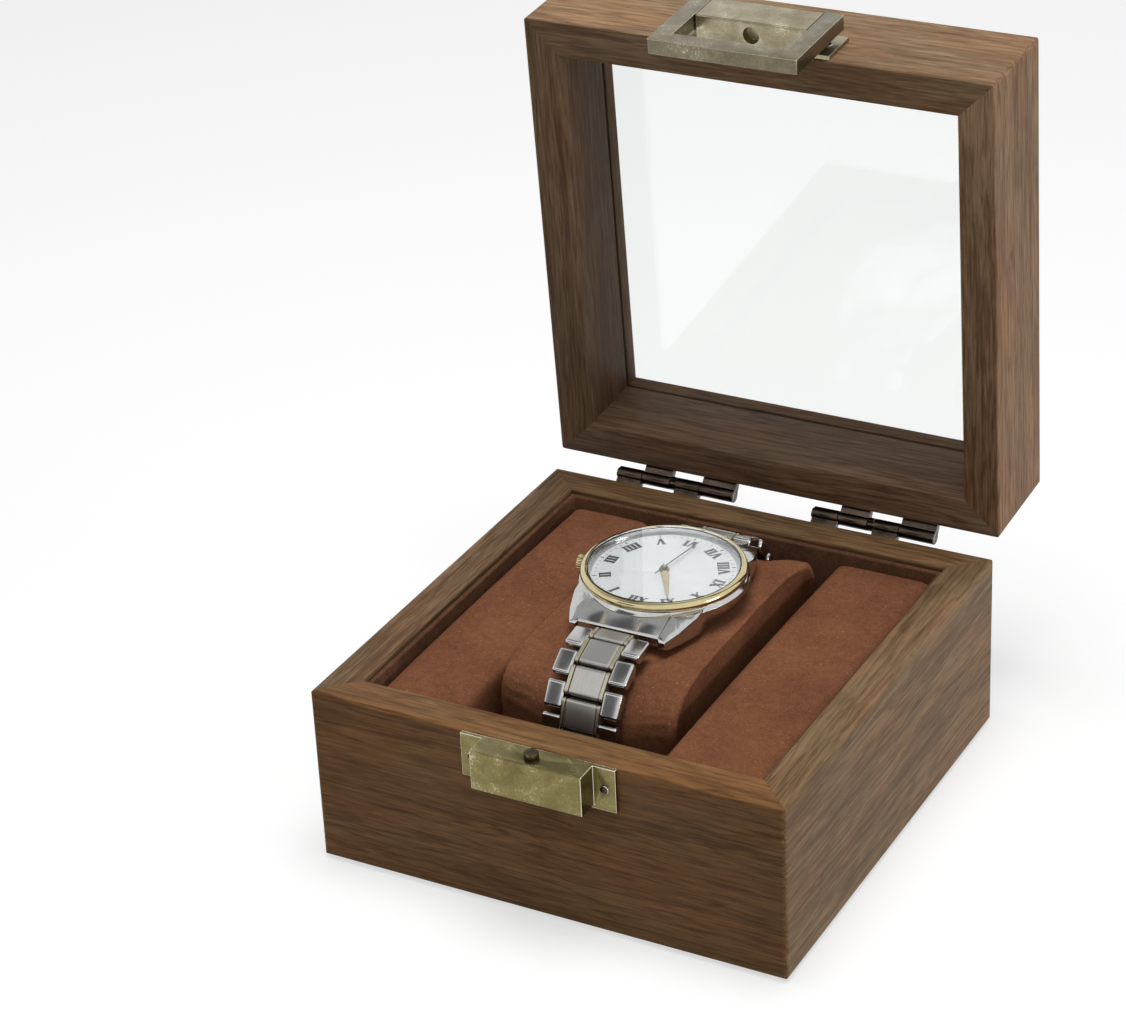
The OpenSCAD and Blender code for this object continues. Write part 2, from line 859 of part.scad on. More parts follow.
module case_back()
    color(brushed)
        at_watch(case_z)
            rotate_extrude($fn = 96)
                polygon([[0, 0], [back_r - back_bevel, 0], [back_r, back_edge_t], [back_r, back_t],
                    [0, back_t]]);

module movement()
    color("#a58d55")
        at_watch(case_z + back_t)
            difference() {
                cylinder(r = movement_r - running, h = case_h - back_t - dial_drop, $fn = 96);
                translate([-movement_r - spill, 0, crown_z - case_z - back_t])
                    rotate([0, 90, 0]) cylinder(r = stem_r + running, h = stem_bore + spill);
            }

module bezel()
    color(gold)
        at_watch(seat_z)
            rotate_extrude($fn = 96)
                difference() {
                    translate([crystal_r + running, 0]) square([bezel_r - crystal_r - running, bezel_h]);
                    corner_waste([bezel_r, bezel_h], [-1, -1], bezel_round);
                    corner_waste([bezel_r, 0], [-1, 1], bezel_foot);
                }

module crystal()
    color([0.9, 0.95, 1, 0.25])
        at_watch(crystal_z)
            rotate_extrude($fn = 96)
                polygon(concat([[0, 0], [crystal_r, 0], [crystal_r, crystal_t]],
                    [for (i = [5:-1:0]) let (t = i / 5)
                        [(crystal_r - crystal_edge) * t, crystal_t + crystal_dome * (1 - t * t)]]));

module dial()
    color("#f4f4f2")
        at_watch(dial_z)
            difference() {
                cylinder(r = dial_r - running, h = dial_t, $fn = 96);
                translate([0, 0, -spill]) cylinder(r = arbor_r, h = dial_t + 2 * spill);
            }

module chapter_ring()
    color(steel)
        at_watch(0)
            rotate_extrude($fn = 96)
                polygon([[dial_r - ring_t, dial_z + dial_t], [dial_r, dial_z + dial_t], [dial_r, seat_z],
                    [crystal_r, seat_z], [crystal_r, crystal_z], [crystal_r - ring_lip, crystal_z]]);

module hand_arbor()
    color(gold)
        at_watch(dial_z)
            cylinder(r = arbor_r, h = second_z + second_t + arbor_over - dial_z);

// Angle of a hand on the dial, whose twelve faces the front
function hand_angle(turn) = -90 - 360 * turn;

module tapered_hand(z, reach, width, hub, turn)
    color(gold)
        at_watch(z)
            rotate([0, 0, hand_angle(turn)])
                difference() {
                    union() {
                        linear_extrude(hand_t)
                            polygon([[-hand_tail, 0], [0, width * 0.36], [reach * 0.3, width / 2],
                                [reach, hand_tip / 2], [reach, -hand_tip / 2],
                                [reach * 0.3, -width / 2], [0, -width * 0.36]]);
                        cylinder(r = hub, h = hand_t);
                    }
                    translate([0, 0, -spill]) cylinder(r = arbor_r + running, h = 2 * spill + hand_t);
                }

module hour_hand()
    tapered_hand(hour_z, hour_l, hour_w, hour_hub_r, (shown_hour + shown_minute / 60) / 12);

module minute_hand() tapered_hand(minute_z, minute_l, minute_w, minute_hub_r, shown_minute / 60);

module second_hand()
    color(gold)
        at_watch(second_z)
            rotate([0, 0, hand_angle(shown_second / 60)])
                linear_extrude(second_t)
                    difference() {
                        union() {
                            translate([-second_tail, -second_w / 2])
                                square([second_l + second_tail, second_w]);
                            circle(second_hub_r);
                        }
                        circle(arbor_r + running);
                    }

module crown()
    color(gold)
        at_watch(crown_z)
            rotate([0, -90, 0]) {
                translate([0, 0, case_r + crown_gap])
                    linear_extrude(crown_l)
                        difference() {
                            circle(crown_r);
                            for (i = [0:flutes - 1])
                                rotate([0, 0, 360 * i / flutes])
                                    translate([crown_r + flute_out, 0]) circle(flute_r, $fn = 16);
                        }
                translate([0, 0, movement_r - stem_hold])
                    cylinder(r = stem_r, h = case_r + crown_gap - movement_r + stem_hold);
            }

// Bracelet. The path goes out from the lug pivot, over the cushion's edge, down and under

module spring_bars()
    color(brushed)
        at_watch(band_high)
            for (y = [-1, 1])
                translate([-lug_gap / 2 - bar_hold, y * pivot_reach, 0])
                    rotate([0, 90, 0]) cylinder(r = bar_r, h = lug_gap + 2 * bar_hold);

// Distance from the lug pivot to the upright run: -1 front, 1 back
function run_out(end) = end < 0 ? watch_y - pivot_reach - band_front
    : band_back - watch_y - pivot_reach;

function top_bend(end) = min(band_bend, run_out(end));

// Lengths of the path's five stretches
function stretch(end) = [
    run_out(end) - top_bend(end),
    PI / 2 * top_bend(end),
    band_high - band_low - top_bend(end) - low_bend,
    PI / 2 * low_bend
];

function sum_to(v, n) = n == 0 ? 0 : v[n - 1] + sum_to(v, n - 1);

// Place on the path at length s: distance out, height and tilt
function path_at(end, s) =
    let (v = stretch(end), r = top_bend(end), out = run_out(end))
        s < v[0] ? [s, band_high, 0]
            : s < sum_to(v, 2) ? let (a = (s - v[0]) / r * 180 / PI)
                [v[0] + r * sin(a), band_high - r * (1 - cos(a)), a]
            : s < sum_to(v, 3) ? [out, band_high - r - (s - sum_to(v, 2)), 90]
            : s < sum_to(v, 4) ? let (a = (s - sum_to(v, 3)) / low_bend * 180 / PI)
                [out - low_bend * (1 - cos(a)), band_low + low_bend * (1 - sin(a)), 90 + a]
            : [out - low_bend - (s - sum_to(v, 4)), band_low, 180];

// Path length to the clasp, and the rows that fit before it
function path_length(end) =
    sum_to(stretch(end), 4)
        + (band_back - band_front) / 2 - low_bend - clasp_l / 2;

function outer_start(i) = first_row + outer_lag + i * link_pitch;

function rows(end) = floor((path_length(end) - outer_start(0)) / link_pitch);

function row_end(end) = path_at(end, outer_start(rows(end)))[0];

// Puts a link, modelled about its own middle along y, on the path
module on_path(end, s) {
    at = path_at(end, s);
    translate([watch_x, watch_y, 0])
        mirror([0, end < 0 ? 1 : 0, 0])
            translate([0, pivot_reach + at[0], at[1]])
                rotate([-at[2], 0, 0]) children();
}

// A link: width along x, length along y, round upper edges
module link(x0, width, run)
    along_x(x0, width)
        difference() {
            translate([-run / 2, -link_t / 2]) square([run, link_t]);
            for (y = [-1, 1]) {
                corner_waste([y * run / 2, link_t / 2], [-y, -1], link_round);
                corner_waste([y * run / 2, -link_t / 2], [-y, 1], link_relief);
            }
        }

// Height of an end link's sloping top, and where its rounded nose begins
function end_link_top(y) = seat_z - end_link_drop - end_link_fall * (y - case_r);

end_nose_y = pivot_reach + end_link_r - end_link_nose;

module end_links()
    color(steel)
        at_watch(0)
            for (y = [0, 1]) mirror([0, y, 0])
                difference() {
                    along_x(-band_w / 2, band_w) {
                        polygon([[case_r - end_link_hold, band_high - end_link_r + end_link_flat],
                            [pivot_reach, band_high - end_link_r + end_link_flat],
                            [pivot_reach + end_link_r, band_high],
                            [pivot_reach + end_link_r, end_link_top(end_nose_y) - end_link_nose],
                            [end_nose_y, end_link_top(end_nose_y)],
                            [case_r - end_link_hold, end_link_top(case_r - end_link_hold)]]);
                        translate([pivot_reach, band_high]) circle(end_link_r);
                    }
                    translate([0, 0, case_z - spill])
                        cylinder(r = case_r + running, h = 2 * case_h, $fn = 96);
                    for (x = [-1, 1]) end_bar(x, spill);
                    translate([-band_w / 2 - spill, pivot_reach, band_high])
                        rotate([0, 90, 0]) cylinder(r = bar_r, h = band_w + 2 * spill);
                }

// Gold bar let into the sloping top of an end link
module end_bar(x, over)
    along_x(x * (middle_w + bar_w) / 2 - bar_w / 2, bar_w) {
        y0 = case_r + end_bar_out;
        polygon([[y0, end_link_top(y0) - end_bar_t], [end_nose_y, end_link_top(end_nose_y) - end_bar_t],
            [end_nose_y, end_link_top(end_nose_y) + over], [y0, end_link_top(y0) + over]]);
    }

module outer_links()
    color(steel)
        for (end = [-1, 1], i = [0:rows(end) - 1], x = [-1, 1])
            on_path(end, outer_start(i) + link_pitch / 2)
                link(x < 0 ? -strap_w / 2 : strap_w / 2 - outer_w, outer_w, link_pitch - row_gap);

// Middle links lie ahead of the outer ones, so the first is a short link
function middle_run(i) = (i == 0 ? first_middle : link_pitch) - middle_gap;

function middle_at(i) = first_row + (i == 0 ? first_middle / 2 : first_middle + (i - 0.5) * link_pitch);

module middle_links()
    color(brushed)
        for (end = [-1, 1], i = [0:rows(end) - 1])
            on_path(end, middle_at(i)) link(-middle_w / 2, middle_w, middle_run(i));

module gold_bars()
    color(gold) {
        for (end = [-1, 1], i = [0:rows(end) - 1], x = [0, 1])
            on_path(end, middle_at(i))
                mirror([x, 0, 0]) link(middle_w / 2, bar_w, middle_run(i));
        at_watch(0)
            for (y = [0, 1], x = [-1, 1]) mirror([0, y, 0]) end_bar(x, 0);
    }

module clasp() {
    y0 = watch_y - pivot_reach - row_end(-1);
    y1 = watch_y + pivot_reach + row_end(1);
    color(steel)
        translate([watch_x, y0, clasp_z])
            along_y(y1 - y0)
                difference() {
                    half_w = strap_w / 2 - clasp_inset;
                    translate([-half_w, 0]) square([2 * half_w, clasp_t]);
                    for (x = [-1, 1]) corner_waste([x * half_w, 0], [-x, 1], clasp_round);
                }
}

base_front_wall();
base_right_wall();
base_back_wall();
base_left_wall();
bottom_panel();
base_felt();
wall_lining();
left_pad();
right_pad();
well_board();
base_latch_plate();
latch_knob();
base_latch_nails();
left_hinge_base_leaf();
right_hinge_base_leaf();
left_hinge_pin();
right_hinge_pin();
base_hinge_screws();
lid_front_rail();
lid_right_rail();
lid_back_rail();
lid_left_rail();
lid_glass();
left_hinge_lid_leaf();
right_hinge_lid_leaf();
lid_hinge_screws();
lid_latch_plate();
lid_latch_nails();
bail_pivot_pins();
latch_bail();
cushion();
watch_case();
case_back();
movement();
bezel();
crystal();
dial();
chapter_ring();
hand_arbor();
hour_hand();
minute_hand();
second_hand();
crown();
spring_bars();
end_links();
outer_links();
middle_links();
gold_bars();
clasp();
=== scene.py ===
"""Finishes for a wooden watch box with a glass lid, and for the wristwatch on its cushion."""

import json
import math

import bpy
from bpy.props import FloatProperty, FloatVectorProperty, IntProperty, PointerProperty
from mathutils import Matrix, Vector, noise


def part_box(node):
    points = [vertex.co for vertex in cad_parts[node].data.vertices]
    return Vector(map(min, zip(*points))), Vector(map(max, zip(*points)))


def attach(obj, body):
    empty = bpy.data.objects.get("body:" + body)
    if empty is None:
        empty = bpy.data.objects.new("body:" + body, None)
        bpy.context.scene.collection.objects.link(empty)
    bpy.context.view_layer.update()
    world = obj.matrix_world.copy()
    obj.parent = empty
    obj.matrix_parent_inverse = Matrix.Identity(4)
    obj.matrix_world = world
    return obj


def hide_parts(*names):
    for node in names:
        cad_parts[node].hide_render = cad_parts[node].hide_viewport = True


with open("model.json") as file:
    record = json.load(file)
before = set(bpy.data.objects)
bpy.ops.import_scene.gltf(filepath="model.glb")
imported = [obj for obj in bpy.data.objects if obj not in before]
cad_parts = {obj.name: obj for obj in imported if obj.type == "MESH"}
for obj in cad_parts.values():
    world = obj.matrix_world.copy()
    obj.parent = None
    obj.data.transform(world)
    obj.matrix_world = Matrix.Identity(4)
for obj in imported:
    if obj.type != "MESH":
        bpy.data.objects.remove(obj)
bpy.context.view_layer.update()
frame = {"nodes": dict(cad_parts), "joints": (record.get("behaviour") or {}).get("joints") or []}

bl_info = {
    "name": "Wooden Watch Box",
    "version": (1, 0, 0),
    "blender": (4, 5, 0),
    "location": "3D View > Sidebar > Watch Box",
    "description": "Dresses a wooden watch box, its lining and cushion, its latch and the watch",
    "category": "Object",
}

MM = 0.001
JOINTS = {joint["name"]: joint for joint in frame["joints"]}
LID_OPEN = math.radians(JOINTS["lid_hinge"]["range_deg"][1])
LID_TURN = Matrix.Rotation(-LID_OPEN, 3, "X")
QUARTER = Matrix.Rotation(math.pi / 2, 3, "Z")
WATCH_X, WATCH_Y = JOINTS["minute_hand_turn"]["pos_m"][:2]
DIAL_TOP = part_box("dial")[1].z
# Corners closer than this are merged, and faces flatter than this become one
SAME_PLACE = 0.002 * MM
SAME_PLANE = math.radians(0.5)


# Meshes

def deselect():
    if bpy.context.object and bpy.context.object.mode != "OBJECT":
        bpy.ops.object.mode_set(mode="OBJECT")
    bpy.ops.object.select_all(action="DESELECT")


def take(piece):
    """Makes piece the one selected and active object."""
    deselect()
    piece.select_set(True)
    bpy.context.view_layer.objects.active = piece


def settle(piece):
    """Puts the piece's place, turn and size into its mesh."""
    take(piece)
    bpy.ops.object.transform_apply(location=True, rotation=True, scale=True)


def modify(piece, kind, **settings):
    """Adds a modifier with these settings and applies it."""
    take(piece)
    modifier = piece.modifiers.new(kind.title(), kind)
    for name, value in settings.items():
        setattr(modifier, name, value)
    bpy.ops.object.modifier_apply(modifier=modifier.name)


def finish(piece, body, slot, finishes, nodes=()):
    """Gives a made piece its body, its materials and the CAD nodes that it stands for."""
    slots = piece.data.materials
    while len(slots) < len(finishes):
        slots.append(None)
    for i, material in enumerate(finishes):
        slots[i] = material
    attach(piece, body)
    if nodes:
        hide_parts(*nodes)
    return piece


def copy_of(node, name, whole=True):
    """A copy of a CAD node, its triangles merged and, if whole, its flat faces in one piece."""
    piece = bpy.data.objects.new(name, frame["nodes"][node].data.copy())
    bpy.context.scene.collection.objects.link(piece)
    take(piece)
    if piece.data.has_custom_normals:
        bpy.ops.mesh.customdata_custom_splitnormals_clear()
    bpy.ops.object.mode_set(mode="EDIT")
    bpy.ops.mesh.select_all(action="SELECT")
    bpy.ops.mesh.remove_doubles(threshold=SAME_PLACE)
    if whole:
        bpy.ops.mesh.dissolve_limited(angle_limit=SAME_PLANE)
        bpy.ops.mesh.normals_make_consistent(inside=False)
    bpy.ops.object.mode_set(mode="OBJECT")
    for face in piece.data.polygons:
        face.material_index = 0
    return piece


def eased(node, name, width, steps=2, sharp=35, edge_slot=-1):
    """A copy of a CAD node, its edges sharper than sharp degrees eased by a small bevel.

    With an edge_slot, the bevels take that material slot of the piece.
    """
    piece = copy_of(node, name)
    if edge_slot > 0:
        piece.data.materials.append(None)
    modify(piece, "BEVEL", width=width, segments=steps, limit_method="ANGLE",
           angle_limit=math.radians(sharp), material=edge_slot, harden_normals=False,
           use_clamp_overlap=True)
    take(piece)
    bpy.ops.object.shade_smooth_by_angle(angle=math.radians(sharp))
    return piece


# Materials

class Value:
    """An output in a node tree. Sums and products of it add Math nodes."""

    def __init__(self, nodes, socket):
        self.nodes = nodes
        self.socket = socket

    def maths(self, operation, *values):
        return self.nodes.node("ShaderNodeMath", {"operation": operation}, enumerate(values))

    def __add__(self, other):
        return self.maths("ADD", self, other)

    def __sub__(self, other):
        return self.maths("SUBTRACT", self, other)

    def __rsub__(self, other):
        return self.maths("SUBTRACT", other, self)

    def __mul__(self, other):
        return self.maths("MULTIPLY", self, other)

    __radd__ = __add__
    __rmul__ = __mul__

    def span(self, low, high, to_low=0.0, to_high=1.0):
        """The value's stretch from low to high, spread from to_low to to_high and kept there."""
        settings = {"interpolation_type": "SMOOTHSTEP"}
        values = {"Value": self, "From Min": low, "From Max": high,
                  "To Min": to_low, "To Max": to_high}
        return self.nodes.node("ShaderNodeMapRange", settings, values.items())


class Nodes:
    """The node tree of a material or of the world."""

    def __init__(self, tree):
        self.tree = tree

    def feed(self, socket, value):
        """Links a Value to the socket, or sets the socket to a constant."""
        if isinstance(value, Value):
            self.tree.links.new(value.socket, socket)
        elif hasattr(value, "__len__") and len(value) == 3 and socket.type == "RGBA":
            socket.default_value = (*value, 1)
        else:
            socket.default_value = value

    def node(self, kind, settings=None, inputs=(), output=0):
        """Adds a node, and returns the output that is asked for."""
        made = self.tree.nodes.new(kind)
        for name, value in (settings or {}).items():
            if name == "stops":
                self.set_stops(made.color_ramp, value)
            else:
                setattr(made, name, value)
        for name, value in inputs:
            self.feed(made.inputs[name], value)
        return Value(self, made.outputs[output])

    def set_stops(self, ramp, stops):
        while len(ramp.elements) < len(stops):
            ramp.elements.new(0.5)
        for element, (place, colour) in zip(ramp.elements, stops):
            element.position = place
            element.color = (*colour, 1)


class Finish(Nodes):
    """A material, and the nodes that feed its shader."""

    def __init__(self, name, **sockets):
        self.material = bpy.data.materials.new(name)
        self.material.use_nodes = True
        super().__init__(self.material.node_tree)
        self.shader = self.tree.nodes["Principled BSDF"]
        self.set(**sockets)

    def set(self, **sockets):
        """Sets or feeds the shader's sockets: coat_weight stands for Coat Weight."""
        for name, value in sockets.items():
            words = name.replace("_", " ").title().replace("Ior", "IOR")
            self.feed(self.shader.inputs[words], value)

    def place(self, size, turn=Matrix.Identity(3), shift=(0, 0, 0)):
        """Object coordinates in units of size, along axes turned by turn."""
        where = self.node("ShaderNodeTexCoord", output="Object")
        inputs = {"Vector": where, "Rotation": turn.to_euler(), "Location": shift, "Scale": size}
        return self.node("ShaderNodeMapping", {"vector_type": "TEXTURE"}, inputs.items())

    def noise(self, place, detail=3.0, roughness=0.5, distortion=0.0):
        inputs = {"Vector": place, "Scale": 1.0, "Detail": detail, "Roughness": roughness,
                  "Distortion": distortion}
        return self.node("ShaderNodeTexNoise", {}, inputs.items())

    def even(self, size, **settings):
        """Noise of one size all round, in metres."""
        return self.noise(self.place((size, size, size)), **settings)

    def ramp(self, value, stops):
        return self.node("ShaderNodeValToRGB", {"stops": stops}, [(0, value)])

    def mix(self, amount, first, second):
        sockets = [(0, amount), (6, first), (7, second)]
        return self.node("ShaderNodeMix", {"data_type": "RGBA"}, sockets, 2)

    def bump(self, height, distance, strength):
        inputs = {"Height": height, "Distance": distance, "Strength": strength}
        return self.node("ShaderNodeBump", {}, inputs.items())


def walnut(name, mean, turn, shift):
    """Lacquered walnut of this mean colour. Its grain runs along turn's x axis."""
    wood = settings().wood
    made = Finish(name, specular_ior_level=0.14)
    seat = (shift, 0.37 * shift, 0.71 * shift)

    def grain(length, width, **options):
        return made.noise(made.place((length, width, width), turn, seat), **options)

    bands = grain(wood.band_length, wood.band_width, detail=2.0, distortion=0.6)
    lines = grain(wood.line_length, wood.line_width, detail=3.0, distortion=0.4)
    dashes = grain(wood.dash_length, wood.dash_width, detail=3.0, roughness=0.6)
    pores = grain(wood.pore_length, wood.pore_width, detail=2.0, roughness=0.6).span(0.58, 0.7)
    dark_lines = lines.span(0.56, 0.66)
    across = grain(wood.vein_length, wood.vein_width, detail=2.0, distortion=0.7) - 0.5
    veins = (1 - (across * across).span(0.0, 0.0022)) * bands.span(0.36, 0.56)
    shade = (0.3 * bands + 0.26 * lines + 0.44 * dashes).span(0.33, 0.67)
    shade = shade - 0.2 * pores - 0.22 * dark_lines - 0.3 * veins
    tints = []
    for tint in (wood.cool, wood.warm):
        stops = [(place, [share * hue * part for share, hue, part in zip(tone, tint, mean)])
                 for place, tone in ((0.0, wood.dark), (0.5, wood.middle), (1.0, wood.light))]
        tints.append(made.ramp(shade, stops))
    patches = grain(0.5 * wood.band_length, wood.band_width, detail=3.0).span(0.4, 0.6)
    made.set(base_color=made.mix(patches, *tints),
             roughness=0.5 + 0.1 * dashes + 0.1 * pores,
             normal=made.bump(0.5 * dashes - pores, 0.05 * MM, 0.5))
    return made.material


def suede(name, dark, light, nap=0.42 * MM, sheen=0.1):
    """Brushed microsuede: faint brushed patches, a fine nap and a few bright fibres."""
    made = Finish(name, roughness=0.95, specular_ior_level=0.1, sheen_weight=sheen,
                  sheen_roughness=0.5, sheen_tint=light)
    patches = made.even(16 * MM, detail=3.0, roughness=0.6, distortion=0.4)
    mottle = made.even(1.5 * MM, detail=3.0, roughness=0.7)
    fine = made.even(nap, detail=2.0, roughness=0.8)
    fibres = made.even(0.42 * MM, detail=0.0).span(0.76, 0.88)
    shade = (0.3 * patches + 0.25 * mottle + 0.45 * fine).span(0.34, 0.66)
    cloth = made.ramp(shade, [(0.0, dark), (1.0, light)])
    bright = [min(1.0, 1.8 * part + 0.04) for part in light]
    made.set(base_color=made.mix(0.5 * fibres, cloth, bright),
             normal=made.bump(0.7 * fine + 0.3 * mottle, 0.14 * MM, 0.5))
    return made.material


def old_brass(name, dark, light, worn_and_highlight, wear_and_highlight, gloss=0.0):
    """Antiqued metal: a soft patina with fine specks and random spots of bare metal; a high share
    turns most of the surface to the bare colour, which along the edges is partly painted
    highlight.
    """
    made = Finish(name, metallic=1.0)
    cloud = made.even(6 * MM, detail=4.0, roughness=0.6, distortion=0.4)
    speckle = made.even(0.45 * MM, detail=3.0, roughness=0.8)
    shade = (0.6 * cloud + 0.4 * speckle).span(0.28, 0.72)
    # Random spots of bare metal, and where the share is high, as along the edges, painted
    # highlights too
    rubbed_and_highlit = (0.5 * cloud + 0.5 * speckle + wear_and_highlight).span(0.55, 0.75)
    patina = made.ramp(shade, [(0.0, dark), (1.0, light)])
    made.set(base_color=made.mix(rubbed_and_highlit, patina, worn_and_highlight),
             roughness=(0.5 - gloss - 0.12 * shade) - 0.1 * rubbed_and_highlit,
             normal=made.bump(speckle, 0.02 * MM, 0.3))
    return made.material


def polished(name, colour, roughness):
    """Polished metal with faint handling marks."""
    made = Finish(name, metallic=1.0)
    marks = made.even(3 * MM, detail=5.0, roughness=0.7)
    shade = [(0.3, [0.86 * part for part in colour]), (0.7, colour)]
    made.set(base_color=made.ramp(marks, shade), roughness=roughness + 0.08 * marks)
    return made.material


def brushed(name, colour):
    """Brushed metal, its lines square to X as on a bracelet."""
    made = Finish(name, metallic=1.0)
    lines = made.noise(made.place((0.045 * MM, 5 * MM, 5 * MM)), detail=3.0, roughness=0.7)
    shade = [(0.3, [0.72 * part for part in colour]), (0.7, colour)]
    made.set(base_color=made.ramp(lines, shade), roughness=0.3 + 0.12 * lines,
             normal=made.bump(lines, 0.01 * MM, 0.4))
    return made.material


def clear(name, tint):
    """Clear, faintly smeared glass that lets the lamps' light through to what lies behind it."""
    made = Finish(name, base_color=tint, transmission_weight=1.0, ior=1.45)
    smears = made.even(30 * MM, detail=3.0)
    made.set(roughness=smears.span(0.55, 0.8, 0.0, 0.02))
    lamp_ray = made.node("ShaderNodeLightPath", output="Is Shadow Ray")
    open_way = made.node("ShaderNodeBsdfTransparent")
    glass = Value(made, made.shader.outputs[0])
    surface = made.node("ShaderNodeMixShader", {}, [(0, lamp_ray), (1, glass), (2, open_way)])
    made.feed(made.tree.nodes["Material Output"].inputs["Surface"], surface)
    return made.material


def enamel(name, colour):
    """Smooth satin enamel with a faint grain."""
    made = Finish(name, specular_ior_level=0.4, coat_weight=0.1, coat_roughness=0.1)
    grain = made.even(0.35 * MM, detail=3.0)
    shade = [(0.3, [0.96 * part for part in colour]), (0.7, colour)]
    made.set(base_color=made.ramp(grain, shade), roughness=0.35 + 0.1 * grain)
    return made.material


def print_ink(name, colour):
    """Printed ink, a little uneven."""
    made = Finish(name, specular_ior_level=0.4)
    grain = made.even(0.12 * MM, detail=2.0)
    shade = [(0.35, colour), (0.7, [part + 0.02 for part in colour])]
    made.set(base_color=made.ramp(grain, shade), roughness=0.3 + 0.2 * grain)
    return made.material


# Settings

def colour_setting(name, value, text):
    return FloatVectorProperty(name=name, description=text, default=value, size=3,
                               subtype="COLOR", min=0.0, max=1.0)


def share_setting(name, value, text):
    """A colour given as shares of another, which may be above 1."""
    return FloatVectorProperty(name=name, description=text, default=value, size=3, min=0.0,
                               max=3.0)


def length_setting(name, value, text):
    return FloatProperty(name=name, description=text, default=value, min=0.0, unit="LENGTH",
                         precision=5)


class WatchBoxWood(bpy.types.PropertyGroup):
    """Walnut of the base and the lid."""

    tone: FloatProperty(name="Tone", description="Lightens or darkens all the boards",
                        default=1.0, min=0.0, max=2.0)
    dark: share_setting("Dark", (0.5, 0.44, 0.38), "Darkest grain, as a share of the mean")
    middle: share_setting("Middle", (0.98, 0.98, 0.98), "Plain wood, as a share of the mean")
    light: share_setting("Light", (1.52, 1.56, 1.62), "Palest grain, as a share of the mean")
    cool: share_setting("Cool", (0.975, 1.02, 1.03), "Tint of the olive patches")
    warm: share_setting("Warm", (1.035, 0.975, 0.94), "Tint of the red patches")
    band_length: length_setting("Band length", 70 * MM, "Length of the broad bands")
    band_width: length_setting("Band width", 11 * MM, "Width of the broad bands")
    line_length: length_setting("Line length", 48 * MM, "Length of the grain lines")
    line_width: length_setting("Line width", 1.3 * MM, "Width of the grain lines")
    vein_length: length_setting("Vein length", 42 * MM, "Length of the thin dark veins")
    vein_width: length_setting("Vein width", 3.4 * MM, "Distance between the veins")
    dash_length: length_setting("Dash length", 9 * MM, "Length of the short dashes")
    dash_width: length_setting("Dash width", 0.6 * MM, "Width of the short dashes")
    pore_length: length_setting("Pore length", 4 * MM, "Length of the open pores")
    pore_width: length_setting("Pore width", 0.28 * MM, "Width of the open pores")


class WatchBoxCloth(bpy.types.PropertyGroup):
    """Suede of the pads and the cushion, and velour of the lining."""

    suede_dark: colour_setting("Suede, dark", (0.135, 0.052, 0.026), "Suede brushed down")
    suede_light: colour_setting("Suede, light", (0.255, 0.108, 0.055), "Suede brushed up")
    velour_dark: colour_setting("Velour, dark", (0.075, 0.035, 0.02), "Velour in its folds")
    velour_light: colour_setting("Velour, light", (0.16, 0.08, 0.045), "Velour on its pile")
    voxel: length_setting("Mesh size", 1.0 * MM, "Size of the cloth's mesh")
    steps: IntProperty(name="Steps", description="Steps of the cloth's simulation", default=14,
                       min=2, max=60)


class WatchBoxMetal(bpy.types.PropertyGroup):
    """Metals of the latch, the hinges and the watch."""

    brass_dark: colour_setting("Brass, dark", (0.136, 0.109, 0.044), "Patina of the latch")
    brass_light: colour_setting("Brass, light", (0.285, 0.246, 0.102), "Thin patina of the latch")
    # Bare brass from handling, also used for the painted highlights along the latch's edges
    brass_worn_and_highlight: colour_setting("Brass, worn", (0.86, 0.82, 0.68), "Brass rubbed bare")
    # The lid block's brass is paler than the base block's: partly its own colour, partly painted
    # light on the upturned block
    lid_brass_dark_with_painted_light: colour_setting("Lid's brass, dark", (0.24, 0.205, 0.125), "Patina there")
    lid_brass_light_with_painted_light: colour_setting("Lid's brass, light", (0.46, 0.41, 0.28), "Thin patina there")
    bronze_dark: colour_setting("Bronze, dark", (0.03, 0.024, 0.019), "Plating of the hinges")
    bronze_light: colour_setting("Bronze, light", (0.11, 0.082, 0.062), "Thin plating")
    # Light colour for painted highlights along the hinges' edges, and for a few bare spots on
    # their faces
    bronze_highlight_and_wear: colour_setting("Bronze, worn", (0.55, 0.51, 0.45), "Plating rubbed bare")
    steel: colour_setting("Steel", (0.58, 0.58, 0.575), "Polished steel of the watch")
    brushed_steel: colour_setting("Brushed steel", (0.56, 0.545, 0.51), "Brushed middle links")
    gold: colour_setting("Gold", (0.66, 0.56, 0.32), "Pale gold of the bezel, hands and bars")
    blued: colour_setting("Blued steel", (0.05, 0.045, 0.045), "Dark steel of the second hand")


class WatchBoxDial(bpy.types.PropertyGroup):
    """Face of the watch."""

    enamel: colour_setting("Enamel", (0.475, 0.493, 0.498), "White of the dial")
    ink: colour_setting("Ink", (0.012, 0.012, 0.015), "Black of the numerals")
    numeral_reach: length_setting("Numeral reach", 13.3 * MM, "Dial's middle to a numeral's")
    numeral_height: length_setting("Numeral height", 2.7 * MM, "Height of a numeral")
    track_reach: length_setting("Track reach", 15.2 * MM, "Dial's middle to the minute marks")
    ink_height: length_setting("Ink height", 0.03 * MM, "Thickness of the print")


class WatchBoxStage(bpy.types.PropertyGroup):
    """Camera, lamps and floor."""

    lens: FloatProperty(name="Lens", description="Focal length in millimetres", default=107.66)
    top_power: FloatProperty(name="Top lamp", description="Watts", default=3.6, min=0.0)
    side_power: FloatProperty(name="Side lamp", description="Watts", default=3.5, min=0.0)
    front_power: FloatProperty(name="Front lamp", description="Watts", default=0.25, min=0.0)
    sky: FloatProperty(name="Sky", description="Strength of the even light", default=0.3, min=0.0)
    floor_lift: FloatProperty(name="Floor lift", description="Brightness added to the floor",
                              default=0.62, min=0.0)


